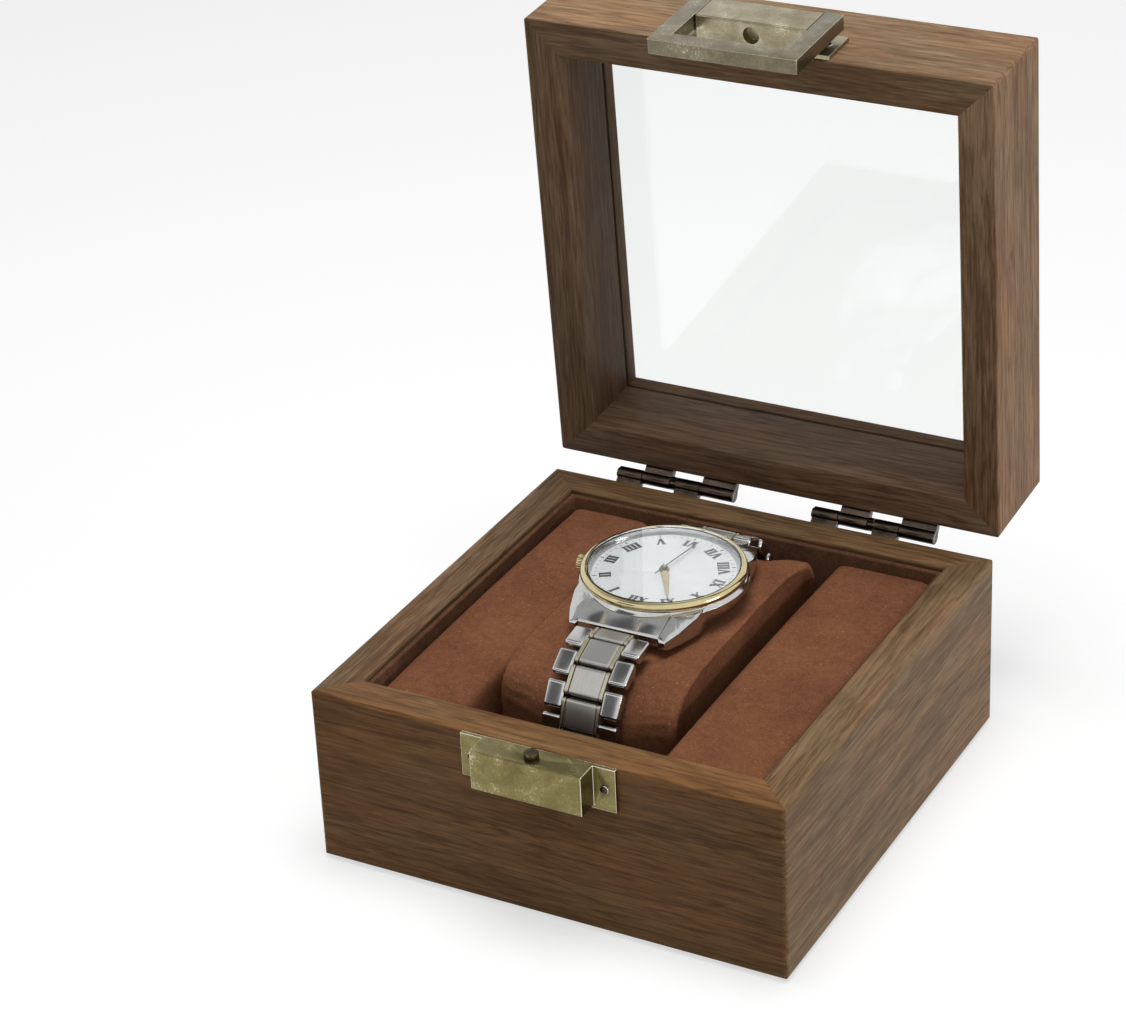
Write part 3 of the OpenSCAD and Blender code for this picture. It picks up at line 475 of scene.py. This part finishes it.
class WatchBoxSettings(bpy.types.PropertyGroup):
    """All settings of the watch box."""

    wood: PointerProperty(type=WatchBoxWood)
    cloth: PointerProperty(type=WatchBoxCloth)
    metal: PointerProperty(type=WatchBoxMetal)
    dial: PointerProperty(type=WatchBoxDial)
    stage: PointerProperty(type=WatchBoxStage)


def settings():
    return bpy.context.scene.watch_box


class WatchBoxOperator:
    """What the operators share."""

    bl_options = {"REGISTER", "UNDO"}

    def execute(self, context):
        self.make(context.scene.watch_box)
        return {"FINISHED"}


# Box

# Node, mean colour, whether it is on the lid, and whether its grain runs front to back. The mean
# colours are the boards' own tones; on top of that, the lid's back and left rails are darkened
# with painted shade and the lid's right rail is lightened with painted light.
BOARD_TONES_AND_PAINTED_LIGHT = (
    ("base_front_wall", (0.19, 0.097, 0.038), False, False),
    ("base_right_wall", (0.195, 0.119, 0.062), False, True),
    ("base_back_wall", (0.16, 0.094, 0.046), False, False),
    ("base_left_wall", (0.175, 0.108, 0.06), False, True),
    ("lid_front_rail", (0.226, 0.14, 0.076), True, False),
    ("lid_right_rail", (0.25, 0.15, 0.082), True, True),
    ("lid_back_rail", (0.136, 0.082, 0.05), True, False),
    ("lid_left_rail", (0.155, 0.094, 0.052), True, True),
)


class WATCHBOX_OT_timber(WatchBoxOperator, bpy.types.Operator):
    """Eases the edges of the eight mitred rails and gives each its own walnut, darkened with
    painted shade on the lid's back and left rails and lightened with painted light on its right
    rail
    """

    bl_idname = "watch_box.timber"
    bl_label = "Walnut rails"

    def make(self, box):
        for i, (node, colour, on_lid, front_to_back) in enumerate(BOARD_TONES_AND_PAINTED_LIGHT):
            turn = LID_TURN if on_lid else Matrix.Identity(3)
            if front_to_back:
                turn = turn @ QUARTER
            piece = eased(node, node + "_walnut", 0.12 * MM, steps=2, sharp=30)
            # The lid's back and left rails carry painted shade in their mean colour, and its
            # right rail carries painted light
            mean = [box.wood.tone * part for part in colour]
            wood = walnut(node + "_wood", mean, turn, 0.31 * (i + 1))
            finish(piece, "lid" if on_lid else "base", "walnut", [wood], [node])


class WATCHBOX_OT_pane(WatchBoxOperator, bpy.types.Operator):
    """Glazes the lid"""

    bl_idname = "watch_box.pane"
    bl_label = "Glass pane"

    def make(self, box):
        node = frame["nodes"]["lid_glass"]
        node.data.materials[0] = clear("float_glass", (0.965, 0.985, 0.975))


class WATCHBOX_OT_underside(WatchBoxOperator, bpy.types.Operator):
    """Finishes the bottom panel and the felt"""

    bl_idname = "watch_box.underside"
    bl_label = "Panel and felt"

    def make(self, box):
        board = walnut("panel_wood", (0.25, 0.16, 0.09), Matrix.Identity(3), 2.9)
        finish(eased("bottom_panel", "bottom_board", 0.1 * MM), "base", "panel", [board],
               ["bottom_panel"])
        felt = suede("felt_cloth", (0.02, 0.015, 0.013), (0.055, 0.045, 0.04))
        finish(eased("base_felt", "felt_foot", 0.3 * MM, steps=3), "base", "felt", [felt],
               ["base_felt"])


# Soft parts

# Pressure inside the cloth, and the height of the unevenness that is added to it
SWELL = 1.2
DIMPLE = 0.12 * MM
# Half the width that the bracelet holds in, with its play along the cushion
HALF_BAND = 13.4 * MM
# Depth of the dish in the cushion's ends, and the distances from the end where it sets in
DISH = 1.4 * MM
DISH_FROM, DISH_TO = 1.4 * MM, 0.3 * MM
# The cushion's seams: distance from the end, half their width, and depth
SEAM_PLACE, SEAM_HALF, SEAM_DEPTH = 2.2 * MM, 0.6 * MM, 0.2 * MM


def upholstery(node, name, reach, held, grow):
    """A padded form from a CAD solid: fine mesh, simulated cloth, and no point past its reach.

    held gives how firmly a point is held, from 0 to 1; reach is how far a free one may move;
    grow is the share by which the cloth is too large for the solid.
    """
    piece = copy_of(node, name, whole=False)
    modify(piece, "REMESH", mode="VOXEL", voxel_size=settings().cloth.voxel)
    modify(piece, "SMOOTH", factor=0.5, iterations=4)
    modify(piece, "SHRINKWRAP", target=frame["nodes"][node], wrap_method="NEAREST_SURFACEPOINT")
    start = [vertex.co.copy() for vertex in piece.data.vertices]
    drape(piece, held, grow)
    for vertex, old in zip(piece.data.vertices, start):
        move = vertex.co - old
        most = reach * (1 - held(old))
        if move.length > most:
            vertex.co = old + move.normalized() * most if most > 0 else old
    modify(piece, "SUBSURF", levels=1, render_levels=1)
    take(piece)
    bpy.ops.object.shade_smooth()
    return piece


def drape(piece, held, grow):
    """Runs the cloth: it swells by pressure and, as it grows, falls into fine creases."""
    scene = bpy.context.scene
    group = piece.vertex_groups.new(name="held")
    for vertex in piece.data.vertices:
        group.add([vertex.index], held(vertex.co), "REPLACE")
    take(piece)
    cloth = piece.modifiers.new("Cloth", "CLOTH")
    cloth.settings.quality = 6
    cloth.settings.mass = 0.15
    cloth.settings.tension_stiffness = 12
    cloth.settings.compression_stiffness = 12
    cloth.settings.shear_stiffness = 4
    cloth.settings.bending_stiffness = 0.3
    cloth.settings.vertex_group_mass = group.name
    cloth.settings.pin_stiffness = 1.0
    cloth.settings.use_pressure = True
    cloth.settings.uniform_pressure_force = SWELL
    cloth.settings.shrink_min = -grow
    cloth.settings.effector_weights.gravity = 0.0
    cloth.collision_settings.use_collision = False
    steps = settings().cloth.steps
    cloth.point_cache.frame_start = 1
    cloth.point_cache.frame_end = steps
    for step in range(1, steps + 1):
        scene.frame_set(step)
    bpy.ops.object.modifier_apply(modifier=cloth.name)
    piece.vertex_groups.clear()
    scene.frame_set(1)


def ramp_up(value, low, high):
    """Smooth step of value from low to high."""
    t = min(1.0, max(0.0, (value - low) / (high - low)))
    return t * t * (3 - 2 * t)


class WATCHBOX_OT_pads(WatchBoxOperator, bpy.types.Operator):
    """Upholsters the two side pads in suede"""

    bl_idname = "watch_box.pads"
    bl_label = "Side pads"

    def make(self, box):
        cloth = suede("pad_suede", box.cloth.suede_dark, box.cloth.suede_light)
        for node, name in (("left_pad", "left_pad_suede"), ("right_pad", "right_pad_suede")):
            low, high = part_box(node)

            def held(at):
                side = min(at.x - low.x, high.x - at.x, at.y - low.y, high.y - at.y)
                worn_and_highlit_edge = 1 - ramp_up(side, 0.2 * MM, 3 * MM)
                deep = 1 - ramp_up(at.z, high.z - 7 * MM, high.z - 1 * MM)
                return max(worn_and_highlit_edge, deep)

            piece = upholstery(node, name, 0.45 * MM, held, grow=0.01)
            for vertex in piece.data.vertices:
                broad = noise.noise(vertex.co / (9 * MM))
                fine = noise.noise(vertex.co / (4 * MM))
                vertex.co.z += DIMPLE * (broad + 0.5 * fine) * (1 - held(vertex.co))
            finish(piece, "base", "suede", [cloth], [node])


class WATCHBOX_OT_cushion(WatchBoxOperator, bpy.types.Operator):
    """Upholsters the cushion, which the bracelet holds in round its middle"""

    bl_idname = "watch_box.cushion"
    bl_label = "Cushion"

    def make(self, box):
        low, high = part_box("cushion")
        centre = (low + high) / 2
        half = (high - low) / 2

        def held(at):
            under_band = 1 - ramp_up(abs(at.x - centre.x), HALF_BAND, HALF_BAND + 2 * MM)
            return max(under_band, 0.25)

        piece = upholstery("cushion", "cushion_suede", 0.5 * MM, held, grow=0.012)
        for vertex in piece.data.vertices:
            at = vertex.co - centre
            # 0 on the cushion's axis and 1 on its sides
            section = (abs(at.y / half.y) ** 5 + abs(at.z / half.z) ** 5) ** 0.2
            on_end = ramp_up(abs(at.x), half.x - DISH_FROM, half.x - DISH_TO)
            dish = on_end * (1 - ramp_up(section, 0.88, 0.96))
            seam = max(0.0, 1 - abs(abs(at.x) - half.x + SEAM_PLACE) / SEAM_HALF)
            on_side = ramp_up(section, 0.8, 0.95)
            dimple = noise.noise(vertex.co / (6 * MM)) * (1 - held(vertex.co))
            inward = Vector((0, -at.y, -at.z)).normalized()
            vertex.co += inward * (SEAM_DEPTH * seam * on_side + DIMPLE * dimple)
            vertex.co.x -= math.copysign(DISH * dish, at.x)
        cloth = suede("cushion_suede", box.cloth.suede_dark, box.cloth.suede_light)
        finish(piece, "cushion", "suede", [cloth], ["cushion"])


class WATCHBOX_OT_lining(WatchBoxOperator, bpy.types.Operator):
    """Lines the walls with velour, and covers the board in the well"""

    bl_idname = "watch_box.lining"
    bl_label = "Lining"

    def make(self, box):
        velour = suede("velour", box.cloth.velour_dark, box.cloth.velour_light, 0.35 * MM, 0.2)
        lining = eased("wall_lining", "velour_lining", 0.7 * MM, steps=5, sharp=60)
        finish(lining, "base", "velour", [velour], ["wall_lining"])
        cloth = suede("board_suede", box.cloth.suede_dark, box.cloth.suede_light)
        board = eased("well_board", "suede_board", 0.4 * MM, steps=3)
        finish(board, "base", "suede", [cloth], ["well_board"])


# Latch and hinges

# Brightness of the bail as a share of the lid's latch block, so that the painted light in that
# block's brass is taken back off the bail
BAIL_SHARE = 0.58


class WATCHBOX_OT_latch(WatchBoxOperator, bpy.types.Operator):
    """Finishes the latch blocks and the bail in antiqued brass, their edges light with bare brass
    and painted highlights
    """

    bl_idname = "watch_box.latch"
    bl_label = "Bail latch"

    def make(self, box):
        metal = box.metal
        colours = (metal.brass_dark, metal.brass_light, metal.brass_worn_and_highlight)
        face = old_brass("latch_brass", *colours, 0.0, gloss=0.14)
        # The edges' light colour is partly bare brass and partly painted highlight
        worn_and_highlit_edge = old_brass("latch_brass_worn_and_highlit_edge", *colours, 0.5, gloss=0.14)
        # The lid block's paler brass is partly its own colour and partly painted light
        lid_colours_with_painted_light = (metal.lid_brass_dark_with_painted_light, metal.lid_brass_light_with_painted_light)
        lid_brass_with_painted_light = old_brass("lid_latch_brass_with_painted_light", *lid_colours_with_painted_light, metal.brass_worn_and_highlight, 0.0, gloss=0.14)
        bail_colours = [[BAIL_SHARE * part for part in colour] for colour in lid_colours_with_painted_light]
        loop = old_brass("bail_brass", *bail_colours, metal.brass_worn_and_highlight, 0.0, gloss=0.14)
        for node, body, metals in (("base_latch_plate", "base", [face, worn_and_highlit_edge]),
                                   ("lid_latch_plate", "lid", [lid_brass_with_painted_light, worn_and_highlit_edge]),
                                   ("latch_bail", "latch_bail", [loop, worn_and_highlit_edge])):
            piece = eased(node, node + "_brass", 0.26 * MM, steps=3, edge_slot=1)
            finish(piece, body, "old_brass", metals, [node])
        dark = old_brass("knob_brass", metal.bronze_dark, metal.brass_dark, metal.brass_worn_and_highlight, 0.0)
        knob = eased("latch_knob", "latch_knob_brass", 0.1 * MM, sharp=50)
        finish(knob, "base", "old_brass", [dark], ["latch_knob"])


class WATCHBOX_OT_hinges(WatchBoxOperator, bpy.types.Operator):
    """Finishes the hinges, pins, screws and nails in dark bronze, with painted highlights along
    their edges and a few bare spots
    """

    bl_idname = "watch_box.hinges"
    bl_label = "Hinges and fasteners"

    def make(self, box):
        metal = box.metal
        colours = (metal.bronze_dark, metal.bronze_light, metal.bronze_highlight_and_wear)
        face = old_brass("hinge_bronze", *colours, -0.2, gloss=0.22)
        # The edge material paints light highlight lines along the edges, with a little bare metal
        worn_and_highlit_edge = old_brass("hinge_bronze_highlight_and_wear", *colours, 0.34, gloss=0.22)
        for node, body in (
            ("left_hinge_base_leaf", "base"), ("right_hinge_base_leaf", "base"),
            ("left_hinge_lid_leaf", "lid"), ("right_hinge_lid_leaf", "lid"),
            ("left_hinge_pin", "base"), ("right_hinge_pin", "base"),
            ("base_hinge_screws", "base"), ("lid_hinge_screws", "lid"),
            ("base_latch_nails", "base"), ("lid_latch_nails", "lid"),
            ("bail_pivot_pins", "lid"),
        ):
            piece = eased(node, node + "_bronze", 0.12 * MM, steps=2, edge_slot=1)
            finish(piece, body, "dark_bronze", [face, worn_and_highlit_edge], [node])


# Watch

class WATCHBOX_OT_case(WatchBoxOperator, bpy.types.Operator):
    """Polishes the case, the bezel and the crown, and clears the crystal"""

    bl_idname = "watch_box.case"
    bl_label = "Watch case"

    def make(self, box):
        steel = polished("polished_steel", box.metal.steel, 0.08)
        satin = brushed("satin_steel", box.metal.brushed_steel)
        gold = polished("polished_gold", box.metal.gold, 0.08)
        plain = polished("plain_brass", (0.55, 0.45, 0.25), 0.35)
        # Widths of the eased edges in millimetres, and the sharp angles in degrees
        for node, width, sharp, slot, metal in (
            ("watch_case", 0.16, 28, "polished_steel", steel),
            ("case_back", 0.15, 25, "polished_steel", satin),
            ("movement", 0.1, 35, "movement_brass", plain),
            ("bezel", 0.12, 35, "gold", gold),
            ("chapter_ring", 0.04, 30, "polished_steel", steel),
            ("hand_arbor", 0.06, 35, "gold", gold),
            ("spring_bars", 0.08, 35, "brushed_links", satin),
        ):
            piece = eased(node, node + "_metal", width * MM, sharp=sharp)
            finish(piece, "watch", slot, [metal], [node])
        crown = eased("crown", "crown_gold", 0.12 * MM, sharp=40)
        finish(crown, "crown", "gold", [gold], ["crown"])
        frame["nodes"]["crystal"].data.materials[0] = clear("watch_crystal", (0.99, 0.995, 1.0))


# Advance of each letter and its strokes, as (start x, start y, end x, end y, thickness),
# all as shares of a numeral's height
LETTERS = {
    "I": (0.39, ((0.0, 0.0, 0.0, 1.0, 0.28),)),
    "V": (0.78, ((-0.27, 1.0, 0.0, 0.0, 0.28), (0.27, 1.0, 0.0, 0.0, 0.16))),
    "X": (0.82, ((-0.27, 1.0, 0.27, 0.0, 0.28), (0.27, 1.0, -0.27, 0.0, 0.16))),
}
HOURS = ("XII", "I", "II", "III", "IIII", "V", "VI", "VII", "VIII", "IX", "X", "XI")
# The hours whose numerals stand with their feet outward
OUTWARD_FROM, OUTWARD_TO = 4, 8
# Thickness of a serif, and how far it stands out beside its stroke
SERIF = 0.1
SERIF_REACH = 0.05
# Length and width of the marks on the hours and between them
HOUR_MARK = (0.9 * MM, 0.3 * MM)
MINUTE_MARK = (0.55 * MM, 0.13 * MM)
# How deep the print is sunk into the enamel, so that no gap shows
SUNK = 0.005 * MM


def add_bar(start, end, width, low, height):
    """Adds a flat bar from start to end to the mesh that is being edited."""
    run = end - start
    place = (start + end) / 2
    bpy.ops.mesh.primitive_cube_add(
        size=1, location=(place.x, place.y, low + height / 2),
        rotation=(0, 0, math.atan2(run.y, run.x)), scale=(run.length, width, height))


def numeral_bars(word, height):
    """The strokes of a numeral about its middle, as pairs of points and a width."""
    total = sum(LETTERS[letter][0] for letter in word)
    x = -total / 2
    for letter in word:
        advance, strokes = LETTERS[letter]
        x += advance / 2
        for x0, y0, x1, y1, thick in strokes:
            start = Vector((x + x0, y0 - 0.5))
            end = Vector((x + x1, y1 - 0.5))
            yield start * height, end * height, thick * height
            for end_x, end_y in ((x0, y0), (x1, y1)):
                if letter == "V" and end_y == 0.0:
                    continue
                reach = Vector((0.5 * thick + SERIF_REACH, 0))
                at = Vector((x + end_x, (0.5 - SERIF / 2) * (1 if end_y > 0.5 else -1)))
                yield (at - reach) * height, (at + reach) * height, SERIF * height
        x += advance / 2


class WATCHBOX_OT_dial(WatchBoxOperator, bpy.types.Operator):
    """Prints plain Roman numerals and a minute track on the white dial"""

    bl_idname = "watch_box.dial"
    bl_label = "Dial"

    def make(self, box):
        dial = box.dial
        white = enamel("dial_enamel", dial.enamel)
        finish(eased("dial", "dial_enamel_disc", 0.05 * MM), "watch", "white_dial", [white],
               ["dial"])
        deselect()
        bpy.ops.mesh.primitive_cube_add(size=0.02 * MM, location=(0, 0, 0))
        printed = bpy.context.object
        printed.name = "dial_print"
        bpy.ops.object.mode_set(mode="EDIT")
        bpy.ops.mesh.select_all(action="SELECT")
        bpy.ops.mesh.delete(type="VERT")
        low = DIAL_TOP - SUNK
        centre = Vector((WATCH_X, WATCH_Y))
        for hour, word in enumerate(HOURS):
            turn = Matrix.Rotation(-math.pi / 2 - hour * math.pi / 6, 2)
            outward = OUTWARD_FROM <= hour <= OUTWARD_TO
            stand = turn @ Matrix.Rotation(math.pi / 2 if outward else -math.pi / 2, 2)
            middle = centre + turn @ Vector((dial.numeral_reach, 0))
            for start, end, width in numeral_bars(word, dial.numeral_height):
                add_bar(middle + stand @ start, middle + stand @ end, width, low,
                        dial.ink_height)
        for minute in range(60):
            turn = Matrix.Rotation(minute * math.pi / 30, 2)
            long, wide = HOUR_MARK if minute % 5 == 0 else MINUTE_MARK
            inner = centre + turn @ Vector((dial.track_reach, 0))
            outer = centre + turn @ Vector((dial.track_reach + long, 0))
            add_bar(inner, outer, wide, low, dial.ink_height)
        bpy.ops.object.mode_set(mode="OBJECT")
        settle(printed)
        finish(printed, "watch", "white_dial", [print_ink("dial_ink", dial.ink)])


# Height of the ridge on the hands, and how far from its hub a hand's arm begins
RIDGE = 0.14 * MM
ARM_FROM = 1.4 * MM
# Points closer than this to the shoulder are lifted with it
NEAR = 0.02 * MM


class WATCHBOX_OT_hands(WatchBoxOperator, bpy.types.Operator):
    """Ridges and gilds the hour and minute hands, and darkens the second hand"""

    bl_idname = "watch_box.hands"
    bl_label = "Hands"

    def make(self, box):
        gold = polished("hand_gold", box.metal.gold, 0.16)
        blued = polished("blued_steel", box.metal.blued, 0.25)
        for node in ("hour_hand", "minute_hand"):
            piece = copy_of(node, node + "_gold")
            self.ridge(piece)
            finish(piece, node, "gold", [gold], [node])
        second = eased("second_hand", "second_hand_steel", 0.02 * MM)
        finish(second, "second_hand", "gold", [blued], ["second_hand"])

    def ridge(self, piece):
        """Cuts a hand along its middle and across its widest place, and lifts the crossing."""
        corners = [vertex.co for vertex in piece.data.vertices]
        top = max(corner.z for corner in corners)
        hub = Vector((WATCH_X, WATCH_Y, top))
        tip = max(corners, key=lambda corner: (corner.xy - hub.xy).length)
        along = Vector((tip.x - hub.x, tip.y - hub.y, 0)).normalized()
        across = along.cross(Vector((0, 0, 1)))
        arm = [corner for corner in corners if (corner - hub).dot(along) > ARM_FROM]
        wide = max(arm, key=lambda corner: abs((corner - hub).dot(across)))
        shoulder = hub + along * (wide - hub).dot(along)
        take(piece)
        bpy.ops.object.mode_set(mode="EDIT")
        for place, normal in ((hub, across), (shoulder, along)):
            bpy.ops.mesh.select_all(action="SELECT")
            bpy.ops.mesh.bisect(plane_co=place, plane_no=normal)
        bpy.ops.mesh.select_all(action="SELECT")
        bpy.ops.mesh.quads_convert_to_tris()
        bpy.ops.object.mode_set(mode="OBJECT")
        for vertex in piece.data.vertices:
            if (vertex.co - shoulder).length < NEAR:
                vertex.co.z += RIDGE


class WATCHBOX_OT_bracelet(WatchBoxOperator, bpy.types.Operator):
    """Polishes the outer links, brushes the middle ones and gilds the bars"""

    bl_idname = "watch_box.bracelet"
    bl_label = "Bracelet"

    def make(self, box):
        steel = polished("link_steel", box.metal.steel, 0.13)
        satin = brushed("link_satin", box.metal.brushed_steel)
        gold = polished("bar_gold", [0.86 * part for part in box.metal.gold], 0.2)
        # Widths of the eased edges in millimetres; a second metal is for those edges
        for node, width, steps, slot, metals in (
            ("end_links", 0.2, 2, "polished_steel", [steel]),
            ("outer_links", 0.6, 4, "polished_steel", [steel]),
            ("middle_links", 0.6, 4, "brushed_links", [satin]),
            ("gold_bars", 0.22, 2, "gold", [satin, gold]),
            ("clasp", 0.3, 2, "brushed_links", [satin]),
        ):
            piece = eased(node, node + "_metal", width * MM, steps=steps, sharp=40,
                          edge_slot=len(metals) - 1)
            finish(piece, "watch", slot, metals, [node])


# Stage

# The camera's place in metres and its turn in degrees, fitted to the photo
CAMERA_PLACE = (0.30517, -0.58038, 0.42796)
CAMERA_TURN = (61.486, 2.558, 28.153)
# What the lamps and the cards are turned to
TARGET = (0.0, 0.01, 0.07)
# Place, size and brightness of each card
CARDS = (
    ("card_sky", (-0.48, 0.1, 1.1), 1.0, 0.5),
    ("card_over", (-0.36, -0.16, 0.88), 0.3, 0.1),
    ("card_front", (-0.42, -0.8, 0.45), 0.4, 0.12),
    ("card_behind", (-0.08, 0.27, 0.07), 0.24, 0.05),
)


def add_lamp(name, place, size, power):
    """A soft square lamp, aimed at the box."""
    bpy.ops.object.light_add(type="AREA", location=place)
    lamp = bpy.context.object
    lamp.name = name
    lamp.data.shape = "SQUARE"
    lamp.data.size = size
    lamp.data.energy = power
    lamp.rotation_euler = (Vector(TARGET) - Vector(place)).to_track_quat("-Z", "Y").to_euler()
    return lamp


def add_card(name, place, size, brightness):
    """A grey card that only mirrored rays meet, for the bands in polished metal."""
    bpy.ops.mesh.primitive_plane_add(size=size, location=place)
    card = bpy.context.object
    card.name = name
    card.rotation_euler = (Vector(TARGET) - Vector(place)).to_track_quat("Z", "Y").to_euler()
    for kind in ("camera", "diffuse", "transmission", "shadow", "volume_scatter"):
        setattr(card, "visible_" + kind, False)
    grey = Finish(name + "_felt", base_color=(0, 0, 0), roughness=1.0, specular_ior_level=0.0,
                  emission_color=[brightness] * 3, emission_strength=1.0)
    card.data.materials.append(grey.material)


def seen_ray(nodes):
    """1 for the rays that show the background: straight, mirrored or through glass."""
    straight, mirrored, through, diffuse_depth = [
        nodes.node("ShaderNodeLightPath", output=name)
        for name in ("Is Camera Ray", "Is Glossy Ray", "Is Transmission Ray", "Diffuse Depth")]
    seen = straight.maths("MAXIMUM", straight, mirrored)
    seen = seen.maths("MAXIMUM", seen, through)
    return seen * diffuse_depth.maths("LESS_THAN", diffuse_depth, 0.5)


class WATCHBOX_OT_stage(WatchBoxOperator, bpy.types.Operator):
    """Sets up the camera, the lamps, the white surroundings and the floor"""

    bl_idname = "watch_box.stage"
    bl_label = "Stage"

    def make(self, box):
        stage = box.stage
        deselect()
        bpy.ops.object.camera_add(location=CAMERA_PLACE,
                                  rotation=[math.radians(turn) for turn in CAMERA_TURN])
        camera = bpy.context.object
        camera.name = "camera"
        camera.data.lens = stage.lens
        camera.data.sensor_width = 36.0
        bpy.context.scene.camera = camera
        top = add_lamp("top_lamp", (0.03, -0.02, 0.75), 0.35, stage.top_power)
        top.visible_glossy = False
        add_lamp("side_lamp", (1.0, 0.03, 0.13), 0.3, stage.side_power)
        add_lamp("front_lamp", (-0.5, -0.8, 0.7), 0.7, stage.front_power)
        for card in CARDS:
            add_card(*card)
        self.make_world(stage.sky)
        self.make_floor(stage.floor_lift)
        bpy.context.scene.view_settings.view_transform = "Standard"

    def make_world(self, sky):
        world = bpy.data.worlds.new("surroundings")
        bpy.context.scene.world = world
        world.use_nodes = True
        surroundings = Nodes(world.node_tree)
        light = world.node_tree.nodes["Background"]
        surroundings.feed(light.inputs["Color"], (1, 1, 1))
        strength = seen_ray(surroundings).span(0.0, 1.0, sky, 1.0)
        surroundings.feed(light.inputs["Strength"], strength)

    def make_floor(self, lift):
        bpy.ops.mesh.primitive_circle_add(vertices=96, radius=6.0, fill_type="NGON",
                                          location=(0, 0, -0.05 * MM))
        floor = bpy.context.object
        floor.name = "floor"
        paper = Finish("floor_paper", base_color=(0.45, 0.45, 0.45), roughness=0.9,
                       specular_ior_level=0.1)
        paper.set(emission_color=(1, 1, 1), emission_strength=seen_ray(paper) * lift)
        floor.data.materials.append(paper.material)


class WATCHBOX_PT_panel(bpy.types.Panel):
    """Buttons and settings in the sidebar"""

    bl_idname = "WATCHBOX_PT_panel"
    bl_label = "Watch Box"
    bl_space_type = "VIEW_3D"
    bl_region_type = "UI"
    bl_category = "Watch Box"

    def draw(self, context):
        for operator in OPERATORS:
            self.layout.operator(operator.bl_idname)
        box = context.scene.watch_box
        for group in (box.wood, box.cloth, box.metal, box.dial, box.stage):
            part = self.layout.box()
            part.label(text=type(group).__doc__)
            for name in type(group).__annotations__:
                part.prop(group, name)


GROUPS = (WatchBoxWood, WatchBoxCloth, WatchBoxMetal, WatchBoxDial, WatchBoxStage,
          WatchBoxSettings)
OPERATORS = (
    WATCHBOX_OT_stage, WATCHBOX_OT_timber, WATCHBOX_OT_pane, WATCHBOX_OT_underside,
    WATCHBOX_OT_lining, WATCHBOX_OT_pads, WATCHBOX_OT_cushion, WATCHBOX_OT_latch,
    WATCHBOX_OT_hinges, WATCHBOX_OT_case, WATCHBOX_OT_dial, WATCHBOX_OT_hands,
    WATCHBOX_OT_bracelet,
)


def register():
    for kind in (*GROUPS, *OPERATORS, WATCHBOX_PT_panel):
        bpy.utils.register_class(kind)
    bpy.types.Scene.watch_box = PointerProperty(type=WatchBoxSettings)


def unregister():
    del bpy.types.Scene.watch_box
    for kind in reversed((*GROUPS, *OPERATORS, WATCHBOX_PT_panel)):
        bpy.utils.unregister_class(kind)


def main():
    register()
    for operator in OPERATORS:
        group, name = operator.bl_idname.split(".")
        getattr(getattr(bpy.ops, group), name)()
    deselect()


if __name__ == "__main__":
    main()
